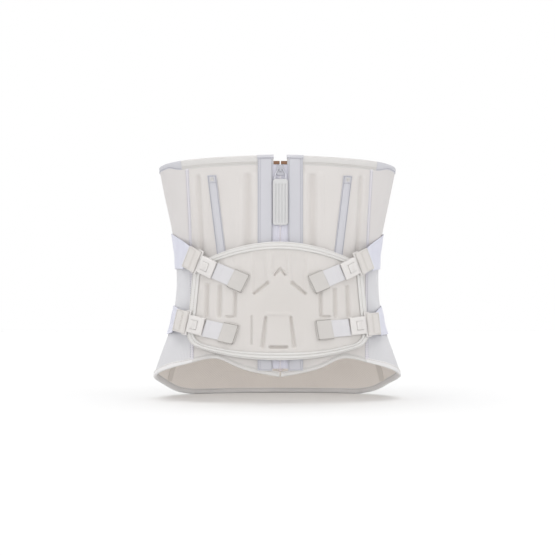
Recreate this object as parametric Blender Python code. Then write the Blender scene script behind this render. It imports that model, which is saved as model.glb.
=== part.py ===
"""Back brace with a front zip, an abdominal pad and four quick-release side straps.

The wearer's trunk is one smooth surface, +Z up, with the front facing -Y. Every fabric part is a closed
solid lying at a stated distance from that surface; buckle parts are flat and stand in a frame of their own.
All sizes are in metres and all angles in degrees unless a name says otherwise.
"""

import math
from collections import namedtuple

import bmesh
import bpy
from mathutils import Matrix, Vector

# The trunk: each section is a superellipse, and the front centre line is straight so that the zip runs true.
SECTION_POWER = 2.3
FRONT_DEPTH = 0.110
HALF_WIDTH_BY_HEIGHT = (
    (0.000, 0.1830), (0.030, 0.1755), (0.060, 0.1655), (0.100, 0.1515), (0.140, 0.1440), (0.170, 0.1423),
    (0.205, 0.1442), (0.240, 0.1500), (0.290, 0.1605), (0.340, 0.1710),
)
BACK_DEPTH_BY_HEIGHT = ((0.000, 0.122), (0.170, 0.092), (0.340, 0.112))

# Rims, as heights by angle from the front centre line. The rear hem is flat, and the brace stands on it.
TOP_BY_ANGLE = ((0, 0.3310), (50, 0.3275), (90, 0.3250), (115, 0.3320), (180, 0.3380))
HEM_BY_ANGLE = (
    (0, 0.0365), (13, 0.0455), (29, 0.0605), (44, 0.0535), (90, 0.0300), (110, 0.0195), (132, 0.0030),
    (142, 0.0000), (180, 0.0000),
)
FABRIC_THICKNESS = 0.004
RIM_PROUD = 0.0004
FRONT_TOP_HEM_HEIGHT = 0.013
TOP_BINDING_HEIGHT = 0.008
FRONT_HEM_HEIGHT = 0.0065
REAR_HEM_HEIGHT = 0.008
RIM_GAP = 0.0006
SEAM_HALF_GAP = 0.0004

# Seams between the panels.
FRONT_SEAM_X_BY_HEIGHT = ((0.050, 0.117), (0.210, 0.120), (0.330, 0.1255))
TOP_HEM_END_ANGLE = 50
TOP_RIM_TAPER = 34
RIM_END_GAP_ANGLE = 0.25
HEM_SEAM_HEIGHT = 0.055
HEM_WIDENING_ANGLES = (46, 60)
HEM_MIDDLE_X = 0.001
REAR_SEAM_ANGLE = 118
MID_HEIGHT = 0.135
SEAM_SEARCH_STEPS = 12
SIDE_SPLIT_BY_ANGLE = ((50, 0.196), (90, 0.2080), (118, 0.2080))

# Edges sharper than this stay sharp, and edges this nearly parallel to an axis count as along it.
SHARP_EDGE_ANGLE = 40
PARALLEL = 0.99

# Zip.
PANEL_FRONT_EDGE_X = 0.0130
TAPE_INNER_X = 0.0025
TAPE_OUTER_X = 0.0126
TAPE_FRONT = -0.0004
TAPE_BACK = -0.0013
TEETH_INNER_X = 0.0008
TEETH_OUTER_X = 0.0022
TEETH_FRONT = 0.0005
TEETH_BACK = -0.0018
ZIP_BOTTOM = 0.0475
ZIP_TOP = 0.3188
BAND_INNER_X = 0.0105
BAND_OUTER_X = 0.0300
BAND_BACK = 0.0008
BAND_FRONT = 0.0018
BAND_BOTTOM = 0.0450
BAND_TOP = 0.3270
STOP_HEIGHT = 0.0032
STOP_OUTER_X = 0.0060
STOP_GAP = 0.0003

# Slider, its pull link and the pull tab. Distances named OUT are measured forward from the zip's centre line.
SLIDER_HALF_WIDTH = 0.00475
SLIDER_BOTTOM = 0.3035
SLIDER_TOP = 0.3172
SLIDER_PLATE_OUT = (0.0009, 0.0022)
SLIDER_REAR_PLATE_OUT = (-0.0034, -0.0021)
SLIDER_CORNER_RADIUS = 0.0016
SLIDER_POST_HALF_WIDTH = 0.0004
SLIDER_POST_HEIGHT = 0.0050
BRIDGE_HALF_WIDTH = 0.0015
BRIDGE_BOTTOM = 0.3080
BRIDGE_TOP = 0.3150
BRIDGE_UNDERSIDE_OUT = 0.0043
BRIDGE_OUTSIDE_OUT = 0.0050
BRIDGE_FOOT_HEIGHT = 0.0014
PULL_AXIS_HEIGHT = 0.3115
PULL_AXIS_OUT = 0.0033
LINK_WIRE_RADIUS = 0.0006
LINK_HALF_WIDTH = 0.0041
LINK_LENGTH = 0.0170
ARM_TOP_SHARE = 0.70
ARM_RADIUS_SHARE = 0.94
TAB_TOP = 0.2985
TAB_LENGTH = 0.0615
TAB_HALF_WIDTH = 0.0100
TAB_THICKNESS = 0.0028
TAB_CORNER_RADIUS = 0.0035
TAB_SLOT_DEPTH = 0.0045
TAB_SLOT_CLEARANCE = 0.0004

# Front stays lean inwards going down, and each lies under a casing tape.
STAY_TOP = 0.305
STAY_BOTTOM = 0.120
STAY_X_AT_TOP = 0.091
STAY_LEAN = 0.124
CASING_HALF_WIDTH = 0.0065
CASING_HEIGHTS = (0.0016, 0.0024)
STAY_HALF_WIDTH = 0.0042
STAY_HEIGHTS = (0.0006, 0.0011)
STAY_END_MARGIN = 0.003

# Rear support panel with four stays between it and the back panel.
SUPPORT_HALF_ANGLE = 34
SUPPORT_BOTTOM = 0.055
SUPPORT_TOP = 0.290
SUPPORT_HEIGHTS = (0.0018, 0.0048)
REAR_STAY_X = {"outer": 0.060, "inner": 0.022}
REAR_STAY_BOTTOM = 0.070
REAR_STAY_TOP = 0.275
REAR_STAY_HALF_WIDTH = 0.006

# Abdominal pad. It stands clear of the zip, so the slider and its pull tab can run down behind it.
PAD_CENTRE_X = -0.002
PAD_CENTRE_Z = 0.135
PAD_TOP_Z = 0.215
PAD_BOTTOM_Z = 0.059
PAD_TOP_CORNER = (0.1085, 0.185)
PAD_BOTTOM_CORNER = (0.1185, 0.080)
PAD_CORNER_LENGTH = 0.016
PAD_BACK = 0.0046
PAD_CHANNEL_DEPTH = 0.0022
PAD_CHANNEL_X = (0.013, 0.024)
PAD_EDGE_FRONT = 0.0086
PAD_CROWN = 0.0012
PAD_RIDGE = 0.0022
PAD_RIDGE_SPREAD = 1.3
PAD_BOTTOM_POWER = 2.2
PAD_EDGE_STEPS = 8
PAD_SIDE_STEPS = 5
PAD_CORNER_STEPS = 5
PAD_RING_REACHES = (0.74, 0.56, 0.37, 0.18)
BINDING_GAP = 0.0008
BINDING_THICKNESS = 0.0005
BINDING_WIDTH = 0.0095

# Buckles. "out" is away from the pad along the strap, and heights are above the trunk at the buckle.
SOCKET_HALF_LENGTH = 0.0120
SOCKET_HALF_WIDTH = 0.0112
SOCKET_HEIGHTS = (0.0102, 0.0162)
SOCKET_BEVEL = 0.0016
CAVITY_HEIGHTS = (0.0108, 0.0150)
CAVITY_INNER_END = -0.0085
CAVITY_HALF_WIDTH = 0.0080
BUTTON_OUT = (-0.0030, 0.0070)
BUTTON_HALF_WIDTH = 0.0058
BUTTON_TOP = 0.0176
BUTTON_FLANGE = 0.0009
BUTTON_FLANGE_HEIGHTS = (0.0139, 0.0147)
BUTTON_CLEARANCE = 0.0004
TONGUE_INNER_END = -0.0075
TONGUE_HALF_WIDTH = 0.0070
TONGUE_HEIGHTS = (0.0112, 0.0125)
TONGUE_FRAME_OUT = (0.0130, 0.0212)
TONGUE_FRAME_HALF_WIDTH = 0.0168
TONGUE_SLOT_OUT = (0.0152, 0.0190)
TONGUE_SLOT_HALF_WIDTH = 0.0152
WEB_TAB_OUT = (0.0178, 0.0365)
WEB_TAB_HALF_WIDTH = 0.0148
WEB_TAB_HEIGHTS = (0.0100, 0.0137)
WEB_TAB_BEVEL = 0.00065
WEB_TAB_EYE_OUT = (0.0186, 0.0216)
WEB_TAB_EYE_HEIGHTS = (0.0107, 0.0130)

# Fabric parts of a strap set.
SIDE_STRAP_START_OUT = 0.0335
SIDE_STRAP_THICKNESS = 0.0015
SIDE_STRAP_FRONT_GAP = 0.0012
SIDE_STRAP_HEIGHT_AT_SIDE = 0.0018
SIDE_STRAP_HEIGHT_AT_REAR = 0.0012
SIDE_STRAP_REAR_ANGLE = 116
SIDE_STRAP_FRONT_HALF_WIDTH = 0.0155
SIDE_STRAP_SQUARE_SHARE = 0.6
PAD_STRAP_OUT = (-0.0550, -0.0125)
PAD_STRAP_STEP_OUT = -0.0340
PAD_STRAP_HALF_WIDTH = 0.0112
PAD_STRAP_END_HALF_WIDTH = 0.0135
PAD_STRAP_CLEARANCE = 0.0009
PAD_STRAP_RISE = 0.0016
PAD_STRAP_RISE_LENGTH = 0.008
PAD_STRAP_STEP_HALF_LENGTH = 0.0005
PAD_STRAP_THICKNESS = 0.0018
PAD_STRAP_END_THICKNESS = 0.0026

StrapSet = namedtuple("StrapSet", "name x z slope side_height side_half_width")
STRAP_SETS = (
    StrapSet("upper_left", -0.0910, 0.1820, 25, 0.2080, 0.025),
    StrapSet("upper_right", 0.0868, 0.1800, 24, 0.2080, 0.025),
    StrapSet("lower_left", -0.1045, 0.1035, 12, 0.1115, 0.020),
    StrapSet("lower_right", 0.0972, 0.1030, 5, 0.1115, 0.020),
)


# ---------------------------------------------------------------- curves and the trunk surface

def smooth_step(low, high, value):
    t = min(max((value - low) / (high - low), 0.0), 1.0)
    return t * t * (3 - 2 * t)


def blend(a, b, t):
    return a + (b - a) * t


def curve_value(points, at):
    """Value at one place of a smooth curve through (place, value) points that never overshoots them."""
    places = [p[0] for p in points]
    values = [p[1] for p in points]
    if at <= places[0]:
        return values[0]
    if at >= places[-1]:
        return values[-1]
    chords = [(values[i + 1] - values[i]) / (places[i + 1] - places[i]) for i in range(len(points) - 1)]

    def slope(i):
        if i == 0:
            return chords[0]
        if i == len(points) - 1:
            return chords[-1]
        before, after = chords[i - 1], chords[i]
        return 0.0 if before * after <= 0 else 2 * before * after / (before + after)

    i = max(k for k in range(len(points) - 1) if places[k] <= at)
    width = places[i + 1] - places[i]
    t = (at - places[i]) / width
    return (
        (2 * t**3 - 3 * t**2 + 1) * values[i]
        + (t**3 - 2 * t**2 + t) * width * slope(i)
        + (3 * t**2 - 2 * t**3) * values[i + 1]
        + (t**3 - t**2) * width * slope(i + 1)
    )


def signed_power(value, power):
    return math.copysign(abs(value) ** power, value)


def trunk_point(angle, z):
    """Point of the trunk at an angle from the front centre line, positive towards +X."""
    sine, cosine = math.sin(math.radians(angle)), math.cos(math.radians(angle))
    depth = FRONT_DEPTH if cosine > 0 else curve_value(BACK_DEPTH_BY_HEIGHT, z)
    half_width = curve_value(HALF_WIDTH_BY_HEIGHT, z)
    power = 2 / SECTION_POWER
    return Vector((half_width * signed_power(sine, power), -depth * signed_power(cosine, power), z))


def along_section(angle, z):
    """Direction of growing angle, with the length of the surface per degree."""
    step = 0.5
    return (trunk_point(angle + step, z) - trunk_point(angle - step, z)) / (2 * step)


def level_normal(angle, z):
    """Outward horizontal direction, so that an offset keeps its height."""
    along = along_section(angle, z)
    return Vector((along.y, -along.x, 0)).normalized()


def trunk_offset(angle, z, distance):
    return trunk_point(angle, z) + level_normal(angle, z) * distance


def angle_at_x(x, z):
    share = min(abs(x) / curve_value(HALF_WIDTH_BY_HEIGHT, z), 1.0)
    return math.copysign(math.degrees(math.asin(share ** (SECTION_POWER / 2))), x)


def angle_from_front(angle):
    return abs((angle + 180) % 360 - 180)


def top_height(angle):
    return curve_value(TOP_BY_ANGLE, angle_from_front(angle))


def hem_height(angle):
    return curve_value(HEM_BY_ANGLE, angle_from_front(angle))


def top_rim_height(angle):
    """Height of the top rim piece, which narrows behind the end of the front hem."""
    narrow = smooth_step(TOP_HEM_END_ANGLE, TOP_HEM_END_ANGLE + TOP_RIM_TAPER, angle_from_front(angle))
    return blend(FRONT_TOP_HEM_HEIGHT, TOP_BINDING_HEIGHT, narrow)


def hem_rim_height(angle):
    """Height of the hem, which widens behind the front seams."""
    widen = smooth_step(*HEM_WIDENING_ANGLES, angle_from_front(angle))
    return blend(FRONT_HEM_HEIGHT, REAR_HEM_HEIGHT, widen)


def front_seam_angle(z):
    return angle_at_x(curve_value(FRONT_SEAM_X_BY_HEIGHT, z), z)


def degrees_for(length, angle, z):
    """Angle that spans a short length of the trunk's section."""
    return length / along_section(angle, z).length


# ---------------------------------------------------------------- mesh helpers

def material(name, colour, roughness, metallic=0.0):
    made = bpy.data.materials.get(name)
    if made:
        return made
    made = bpy.data.materials.new(name)
    made.use_nodes = True
    shader = made.node_tree.nodes["Principled BSDF"]
    shader.inputs["Base Color"].default_value = (*colour, 1.0)
    shader.inputs["Roughness"].default_value = roughness
    shader.inputs["Metallic"].default_value = metallic
    return made


def ivory_fabric():
    return material("ivory_fabric", (0.72, 0.69, 0.65), 0.85)


def side_knit():
    return material("side_knit", (0.66, 0.65, 0.69), 0.9)


def lilac_tape():
    return material("lilac_tape", (0.62, 0.60, 0.68), 0.8)


def white_elastic():
    return material("white_elastic", (0.76, 0.76, 0.85), 0.75)


def pad_foam():
    return material("pad_foam", (0.73, 0.70, 0.65), 0.8)


def pad_edge_tape():
    return material("pad_edge_tape", (0.72, 0.70, 0.67), 0.75)


def webbing():
    return material("webbing", (0.72, 0.70, 0.66), 0.8)


def ivory_plastic():
    return material("ivory_plastic", (0.76, 0.74, 0.70), 0.4)


def ivory_rubber():
    return material("ivory_rubber", (0.74, 0.72, 0.68), 0.55)


def zip_metal():
    return material("zip_metal", (0.70, 0.68, 0.66), 0.3, 1.0)


def zip_plastic():
    return material("zip_plastic", (0.66, 0.64, 0.70), 0.45)


def stay_steel():
    return material("stay_steel", (0.55, 0.56, 0.58), 0.35, 1.0)


def link_object(name, mesh, finish, matrix=None):
    mesh.materials.clear()
    mesh.materials.append(finish)
    made = bpy.data.objects.new(name, mesh)
    if matrix is not None:
        made.matrix_world = matrix
    bpy.context.scene.collection.objects.link(made)
    return made


def mesh_from(name, vertices, faces):
    """Mesh with its faces turned outwards, shaded smooth except over real edges."""
    mesh = bpy.data.meshes.new(name)
    mesh.from_pydata([tuple(v) for v in vertices], [], faces)
    shape = bmesh.new()
    shape.from_mesh(mesh)
    bmesh.ops.recalc_face_normals(shape, faces=shape.faces)
    shape.to_mesh(mesh)
    shape.free()
    mesh.shade_smooth()
    mesh.set_sharp_from_angle(angle=math.radians(SHARP_EDGE_ANGLE))
    return mesh


def fabric_patch(name, finish, columns, rows, place):
    """Closed sheet. place(u, v) gives the angle, height, back distance and front distance at (u, v)."""
    vertices = []
    for side in (0, 1):
        for row in range(rows + 1):
            for column in range(columns + 1):
                angle, z, back, front = place(column / columns, row / rows)
                vertices.append(trunk_offset(angle, z, front if side else back))
    layer = (columns + 1) * (rows + 1)

    def at(side, row, column):
        return side * layer + row * (columns + 1) + column

    faces = []
    for row in range(rows):
        for column in range(columns):
            for side in (0, 1):
                faces.append((at(side, row, column), at(side, row, column + 1),
                              at(side, row + 1, column + 1), at(side, row + 1, column)))
    for row in range(rows):
        for column in (0, columns):
            faces.append((at(0, row, column), at(0, row + 1, column),
                          at(1, row + 1, column), at(1, row, column)))
    for column in range(columns):
        for row in (0, rows):
            faces.append((at(0, row, column), at(0, row, column + 1),
                          at(1, row, column + 1), at(1, row, column)))
    return link_object(name, mesh_from(name, vertices, faces), finish)


def box_mesh(name, low, high):
    corners = [(x, y, z) for x in (low[0], high[0]) for y in (low[1], high[1]) for z in (low[2], high[2])]
    faces = [(0, 1, 3, 2), (4, 5, 7, 6), (0, 1, 5, 4), (2, 3, 7, 6), (0, 2, 6, 4), (1, 3, 7, 5)]
    return mesh_from(name, corners, faces)


def bevelled(mesh, width, segments, keep):
    """Rounds the edges for which keep(edge) is true."""
    shape = bmesh.new()
    shape.from_mesh(mesh)
    edges = [edge for edge in shape.edges if keep(edge)]
    bmesh.ops.bevel(shape, geom=edges, offset=width, segments=segments, profile=0.5, affect="EDGES")
    shape.to_mesh(mesh)
    shape.free()
    mesh.shade_smooth()
    mesh.set_sharp_from_angle(angle=math.radians(SHARP_EDGE_ANGLE))
    return mesh


def edge_runs_along(edge, axis):
    return abs((edge.verts[0].co - edge.verts[1].co).normalized()[axis]) > PARALLEL


def combined(name, base, joined=(), cut=()):
    """Mesh of a base with other meshes joined to it and then cut from it."""
    body = bpy.data.objects.new(name, base)
    bpy.context.scene.collection.objects.link(body)
    tools = []
    for operation, meshes in (("UNION", joined), ("DIFFERENCE", cut)):
        for mesh in meshes:
            tool = bpy.data.objects.new(name + "_tool", mesh)
            tool.hide_render = True
            tool.display_type = "WIRE"
            bpy.context.scene.collection.objects.link(tool)
            tools.append(tool)
            boolean = body.modifiers.new("boolean", "BOOLEAN")
            boolean.operation = operation
            boolean.solver = "EXACT"
            boolean.object = tool
    bpy.context.view_layer.update()
    result = bpy.data.meshes.new_from_object(body.evaluated_get(bpy.context.evaluated_depsgraph_get()))
    for spent in [body, *tools]:
        bpy.data.objects.remove(spent, do_unlink=True)
    result.name = name
    result.shade_smooth()
    result.set_sharp_from_angle(angle=math.radians(SHARP_EDGE_ANGLE))
    return result


# ---------------------------------------------------------------- fabric body

def panel(name, finish, low_angle, high_angle, bottom, top, columns, rows):
    """Body fabric between two seams, given as angles by height, and two rims, given as heights by angle."""
    def place(u, v):
        z = MID_HEIGHT
        for _ in range(SEAM_SEARCH_STEPS):
            angle = blend(low_angle(z), high_angle(z), u)
            z = blend(bottom(angle), top(angle), v)
        return angle, z, -FABRIC_THICKNESS, 0.0
    return fabric_patch(name, finish, columns, rows, place)


def rim_strip(name, finish, low_angle, high_angle, bottom, top, columns):
    """Folded rim piece that caps the panels between two angles."""
    def place(u, v):
        angle = blend(low_angle, high_angle, u)
        return angle, blend(bottom(angle), top(angle), v), -FABRIC_THICKNESS - RIM_PROUD, RIM_PROUD
    return fabric_patch(name, finish, columns, rows=1, place=place)


def strap_line_height(angle):
    """Height where the upper and lower side panels meet, behind the upper strap."""
    return curve_value(SIDE_SPLIT_BY_ANGLE, angle_from_front(angle))


def top_panel_edge(angle):
    return top_height(angle) - top_rim_height(angle) - RIM_GAP


def bottom_panel_edge(angle):
    return hem_height(angle) + hem_rim_height(angle) + RIM_GAP


def front_panel_edge_angle(z):
    return angle_at_x(PANEL_FRONT_EDGE_X, z)


def side_panel_front_angle(z):
    front = front_seam_angle(z)
    return front + degrees_for(2 * SEAM_HALF_GAP, front, z)


def side_panel_rear_angle(z):
    return REAR_SEAM_ANGLE - degrees_for(SEAM_HALF_GAP, REAR_SEAM_ANGLE, z)


def back_panel_angle(z):
    return REAR_SEAM_ANGLE + degrees_for(SEAM_HALF_GAP, REAR_SEAM_ANGLE, z)


def body_panels():
    for side, sign in (("left", -1), ("right", 1)):
        panel(side + "_front_panel", ivory_fabric(), lambda z: sign * front_panel_edge_angle(z),
              lambda z: sign * front_seam_angle(z), bottom_panel_edge, top_panel_edge, columns=9, rows=14)
        panel(side + "_upper_side_panel", ivory_fabric(), lambda z: sign * side_panel_front_angle(z),
              lambda z: sign * side_panel_rear_angle(z), lambda a: strap_line_height(a) + SEAM_HALF_GAP,
              top_panel_edge, columns=8, rows=6)
        panel(side + "_lower_side_panel", side_knit(), lambda z: sign * side_panel_front_angle(z),
              lambda z: sign * side_panel_rear_angle(z), bottom_panel_edge,
              lambda a: strap_line_height(a) - SEAM_HALF_GAP, columns=8, rows=9)
    panel("back_panel", ivory_fabric(), back_panel_angle, lambda z: 360 - back_panel_angle(z),
          bottom_panel_edge, top_panel_edge, columns=16, rows=14)


def rims():
    top_end = TOP_HEM_END_ANGLE + RIM_END_GAP_ANGLE
    hem_end = front_seam_angle(HEM_SEAM_HEIGHT)
    for side, sign in (("left", -1), ("right", 1)):
        rim_strip(side + "_front_top_hem", ivory_fabric(), sign * angle_at_x(PANEL_FRONT_EDGE_X, ZIP_TOP),
                  sign * TOP_HEM_END_ANGLE, lambda a: top_height(a) - top_rim_height(a), top_height,
                  columns=9)
        rim_strip(side + "_front_hem", ivory_fabric(), sign * angle_at_x(HEM_MIDDLE_X, HEM_SEAM_HEIGHT),
                  sign * hem_end, hem_height, lambda a: hem_height(a) + hem_rim_height(a), columns=16)
    rim_strip("top_binding", lilac_tape(), top_end, 360 - top_end,
              lambda a: top_height(a) - top_rim_height(a), top_height, columns=40)
    hem_start = hem_end + RIM_END_GAP_ANGLE
    rim_strip("rear_hem", side_knit(), hem_start, 360 - hem_start,
              hem_height, lambda a: hem_height(a) + hem_rim_height(a), columns=44)


# ---------------------------------------------------------------- zip

def upright_strip(name, finish, x_range, z_range, depths, columns, rows):
    """Strip between two distances from the zip's centre line and two heights."""
    def place(u, v):
        z = blend(*z_range, v)
        return angle_at_x(blend(*x_range, u), z), z, *depths
    return fabric_patch(name, finish, columns, rows, place)


def ahead(out):
    """Y of a place that lies this far in front of the zip's centre line."""
    return -FRONT_DEPTH - out


def zip_strips():
    stop_bottom = ZIP_TOP + STOP_GAP
    for side, sign in (("left", -1), ("right", 1)):
        upright_strip(side + "_zip_band", lilac_tape(), (sign * BAND_INNER_X, sign * BAND_OUTER_X),
                      (BAND_BOTTOM, BAND_TOP), (BAND_BACK, BAND_FRONT), columns=3, rows=8)
        upright_strip(side + "_zip_tape", lilac_tape(), (sign * TAPE_INNER_X, sign * TAPE_OUTER_X),
                      (ZIP_BOTTOM, ZIP_TOP), (TAPE_BACK, TAPE_FRONT), columns=2, rows=4)
        upright_strip(side + "_zip_teeth", zip_plastic(), (sign * TEETH_INNER_X, sign * TEETH_OUTER_X),
                      (ZIP_BOTTOM, ZIP_TOP), (TEETH_BACK, TEETH_FRONT), columns=1, rows=4)
        upright_strip(side + "_zip_top_stop", zip_metal(), (sign * TEETH_INNER_X, sign * STOP_OUTER_X),
                      (stop_bottom, stop_bottom + STOP_HEIGHT), (TEETH_BACK, TEETH_FRONT), columns=1, rows=1)
    box_half_width = TEETH_OUTER_X + STOP_GAP
    box_top = ZIP_BOTTOM - STOP_GAP
    upright_strip("zip_bottom_stop", zip_metal(), (-box_half_width, box_half_width),
                  (box_top - STOP_HEIGHT, box_top), (TEETH_BACK, TEETH_FRONT), columns=2, rows=1)


def zip_slider():
    pivot = Vector((0, ahead(0), (SLIDER_BOTTOM + SLIDER_TOP) / 2))

    def block(half_width, outs, heights):
        return box_mesh("block", (-half_width, -outs[1], heights[0] - pivot.z),
                        (half_width, -outs[0], heights[1] - pivot.z))

    heights = (SLIDER_BOTTOM, SLIDER_TOP)
    overlap = SLIDER_POST_HALF_WIDTH
    post_outs = (SLIDER_REAR_PLATE_OUT[1] - overlap, SLIDER_PLATE_OUT[0] + overlap)
    bridge_outs = (SLIDER_PLATE_OUT[1] - overlap, BRIDGE_OUTSIDE_OUT)
    inside = (BRIDGE_BOTTOM + BRIDGE_FOOT_HEIGHT, BRIDGE_TOP - BRIDGE_FOOT_HEIGHT)
    bridge = combined("bridge", block(BRIDGE_HALF_WIDTH, bridge_outs, (BRIDGE_BOTTOM, BRIDGE_TOP)),
                      cut=[block(SLIDER_HALF_WIDTH, (SLIDER_PLATE_OUT[1], BRIDGE_UNDERSIDE_OUT), inside)])
    plate = bevelled(block(SLIDER_HALF_WIDTH, SLIDER_PLATE_OUT, heights), SLIDER_CORNER_RADIUS, 3,
                     lambda edge: edge_runs_along(edge, 1))
    rear = bevelled(block(SLIDER_HALF_WIDTH, SLIDER_REAR_PLATE_OUT, heights), SLIDER_CORNER_RADIUS, 3,
                    lambda edge: edge_runs_along(edge, 1))
    post = block(SLIDER_POST_HALF_WIDTH, post_outs, (SLIDER_TOP - SLIDER_POST_HEIGHT, SLIDER_TOP - overlap))
    mesh = combined("zip_slider", plate, joined=[rear, post, bridge])
    link_object("zip_slider", mesh, zip_metal(), Matrix.Translation(pivot))


def rod_mesh(start, end, radius, sides=10):
    """Round bar between two points."""
    shape = bmesh.new()
    start, end = Vector(start), Vector(end)
    axis = end - start
    place = Matrix.Translation((start + end) / 2) @ axis.to_track_quat("Z", "Y").to_matrix().to_4x4()
    bmesh.ops.create_cone(shape, cap_ends=True, segments=sides, radius1=radius, radius2=radius,
                          depth=axis.length, matrix=place)
    mesh = bpy.data.meshes.new("rod")
    shape.to_mesh(mesh)
    shape.free()
    return mesh


def pull_link_and_tab():
    """Both turn on the slider's bridge, so both hang from one empty on that axis."""
    axis = bpy.data.objects.new("pull_axis", None)
    axis.location = (0, ahead(PULL_AXIS_OUT), PULL_AXIS_HEIGHT)
    bpy.context.scene.collection.objects.link(axis)
    arm_x, wire = LINK_HALF_WIDTH, LINK_WIRE_RADIUS
    crossbar = rod_mesh((-arm_x - wire / 2, 0, 0), (arm_x + wire / 2, 0, 0), wire)
    arms = [rod_mesh((x, 0, wire * ARM_TOP_SHARE), (x, 0, -LINK_LENGTH), wire * ARM_RADIUS_SHARE)
            for x in (-arm_x, arm_x)]
    link = link_object("zip_pull_link", combined("zip_pull_link", crossbar, joined=arms), zip_metal())

    top = TAB_TOP - PULL_AXIS_HEIGHT
    half = TAB_THICKNESS / 2
    plate = bevelled(box_mesh("tab", (-TAB_HALF_WIDTH, -half, top - TAB_LENGTH), (TAB_HALF_WIDTH, half, top)),
                     TAB_CORNER_RADIUS, segments=4, keep=lambda edge: edge_runs_along(edge, 1))
    room = wire + TAB_SLOT_CLEARANCE
    slots = [box_mesh("slot", (sign * arm_x - room, -room, top - TAB_SLOT_DEPTH),
                      (sign * arm_x + room, room, top + TAB_SLOT_DEPTH)) for sign in (-1, 1)]
    tab = link_object("zip_pull_tab", combined("zip_pull_tab", plate, cut=slots), ivory_rubber())
    for piece in (link, tab):
        piece.parent = axis


# ---------------------------------------------------------------- stays and rear support

def leaning_strip(name, finish, x_at, half_width, z_range, heights, rows):
    def place(u, v):
        z = blend(*z_range, v)
        return angle_at_x(x_at(z) + blend(-half_width, half_width, u), z), z, *heights
    return fabric_patch(name, finish, columns=2, rows=rows, place=place)


def front_stays():
    for side, sign in (("left", -1), ("right", 1)):
        def x_at(z):
            return sign * (STAY_X_AT_TOP - (STAY_TOP - z) * STAY_LEAN)
        leaning_strip(side + "_front_stay_casing", lilac_tape(), x_at, CASING_HALF_WIDTH,
                      (STAY_BOTTOM, STAY_TOP), CASING_HEIGHTS, rows=14)
        leaning_strip(side + "_front_stay", stay_steel(), x_at, STAY_HALF_WIDTH,
                      (STAY_BOTTOM + STAY_END_MARGIN, STAY_TOP - STAY_END_MARGIN), STAY_HEIGHTS, rows=14)


def rear_strip(name, finish, x, half_width, z_range, heights):
    def place(u, v):
        z = blend(*z_range, v)
        return 180 - angle_at_x(x + blend(-half_width, half_width, u), z), z, *heights
    return fabric_patch(name, finish, columns=2, rows=12, place=place)


def rear_support():
    def place(u, v):
        angle = blend(180 - SUPPORT_HALF_ANGLE, 180 + SUPPORT_HALF_ANGLE, u)
        return angle, blend(SUPPORT_BOTTOM, SUPPORT_TOP, v), *SUPPORT_HEIGHTS
    fabric_patch("rear_support_panel", ivory_fabric(), columns=12, rows=12, place=place)
    for side, sign in (("left", -1), ("right", 1)):
        for row, x in REAR_STAY_X.items():
            rear_strip(f"{side}_{row}_rear_stay", stay_steel(), sign * x, REAR_STAY_HALF_WIDTH,
                       (REAR_STAY_BOTTOM, REAR_STAY_TOP), STAY_HEIGHTS)


# ---------------------------------------------------------------- abdominal pad

def pad_half_outline():
    """Right half of the pad's edge, from the bottom middle to the top middle, as (x, z)."""
    def bottom(x):
        share = (x / PAD_BOTTOM_CORNER[0]) ** PAD_BOTTOM_POWER
        return blend(PAD_BOTTOM_Z, PAD_BOTTOM_CORNER[1], share)

    def top(x):
        return blend(PAD_TOP_Z, PAD_TOP_CORNER[1], (x / PAD_TOP_CORNER[0]) ** 2)

    def corner(before, tip, after):
        turns = [k / PAD_CORNER_STEPS for k in range(1, PAD_CORNER_STEPS)]
        return [before * (1 - t) ** 2 + tip * 2 * t * (1 - t) + after * t**2 for t in turns]

    low_tip, high_tip = Vector(PAD_BOTTOM_CORNER), Vector(PAD_TOP_CORNER)
    up = (high_tip - low_tip).normalized()
    low_x = low_tip.x - PAD_CORNER_LENGTH
    high_x = high_tip.x - PAD_CORNER_LENGTH
    shares = [k / PAD_EDGE_STEPS for k in range(PAD_EDGE_STEPS + 1)]
    edge = [Vector((low_x * share, bottom(low_x * share))) for share in shares]
    side_start, side_end = low_tip + up * PAD_CORNER_LENGTH, high_tip - up * PAD_CORNER_LENGTH
    edge += corner(edge[-1], low_tip, side_start)
    edge += [side_start.lerp(side_end, k / PAD_SIDE_STEPS) for k in range(PAD_SIDE_STEPS + 1)]
    high_start = Vector((high_x, top(high_x)))
    edge += corner(edge[-1], high_tip, high_start)
    edge += [Vector((high_x * share, top(high_x * share))) for share in reversed(shares)]
    return edge


def pad_outline():
    half = pad_half_outline()
    mirrored = [Vector((-p.x, p.y)) for p in reversed(half[1:-1])]
    return [Vector((p.x + PAD_CENTRE_X, p.y)) for p in half + mirrored]


def channel_share(x):
    return 1 - smooth_step(*PAD_CHANNEL_X, abs(x))


def pad_back_height(x):
    return PAD_BACK + PAD_CHANNEL_DEPTH * channel_share(x)


def pad_front_height(x, reach):
    """Front of the pad. reach is 0 at its middle and 1 at its edge."""
    crown = PAD_CROWN * (1 - min(reach, 1) ** 2)
    return PAD_EDGE_FRONT + crown + PAD_RIDGE * channel_share(x / PAD_RIDGE_SPREAD)


def pad_point(flat, distance):
    return trunk_offset(angle_at_x(flat.x, flat.y), flat.y, distance)


def pad_inset(edge_point, middle, inset):
    """Place this far inside the pad's edge, and how far out it still is."""
    outward = edge_point - middle
    reach = 1 - inset / outward.length
    return middle + outward * reach, reach


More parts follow.
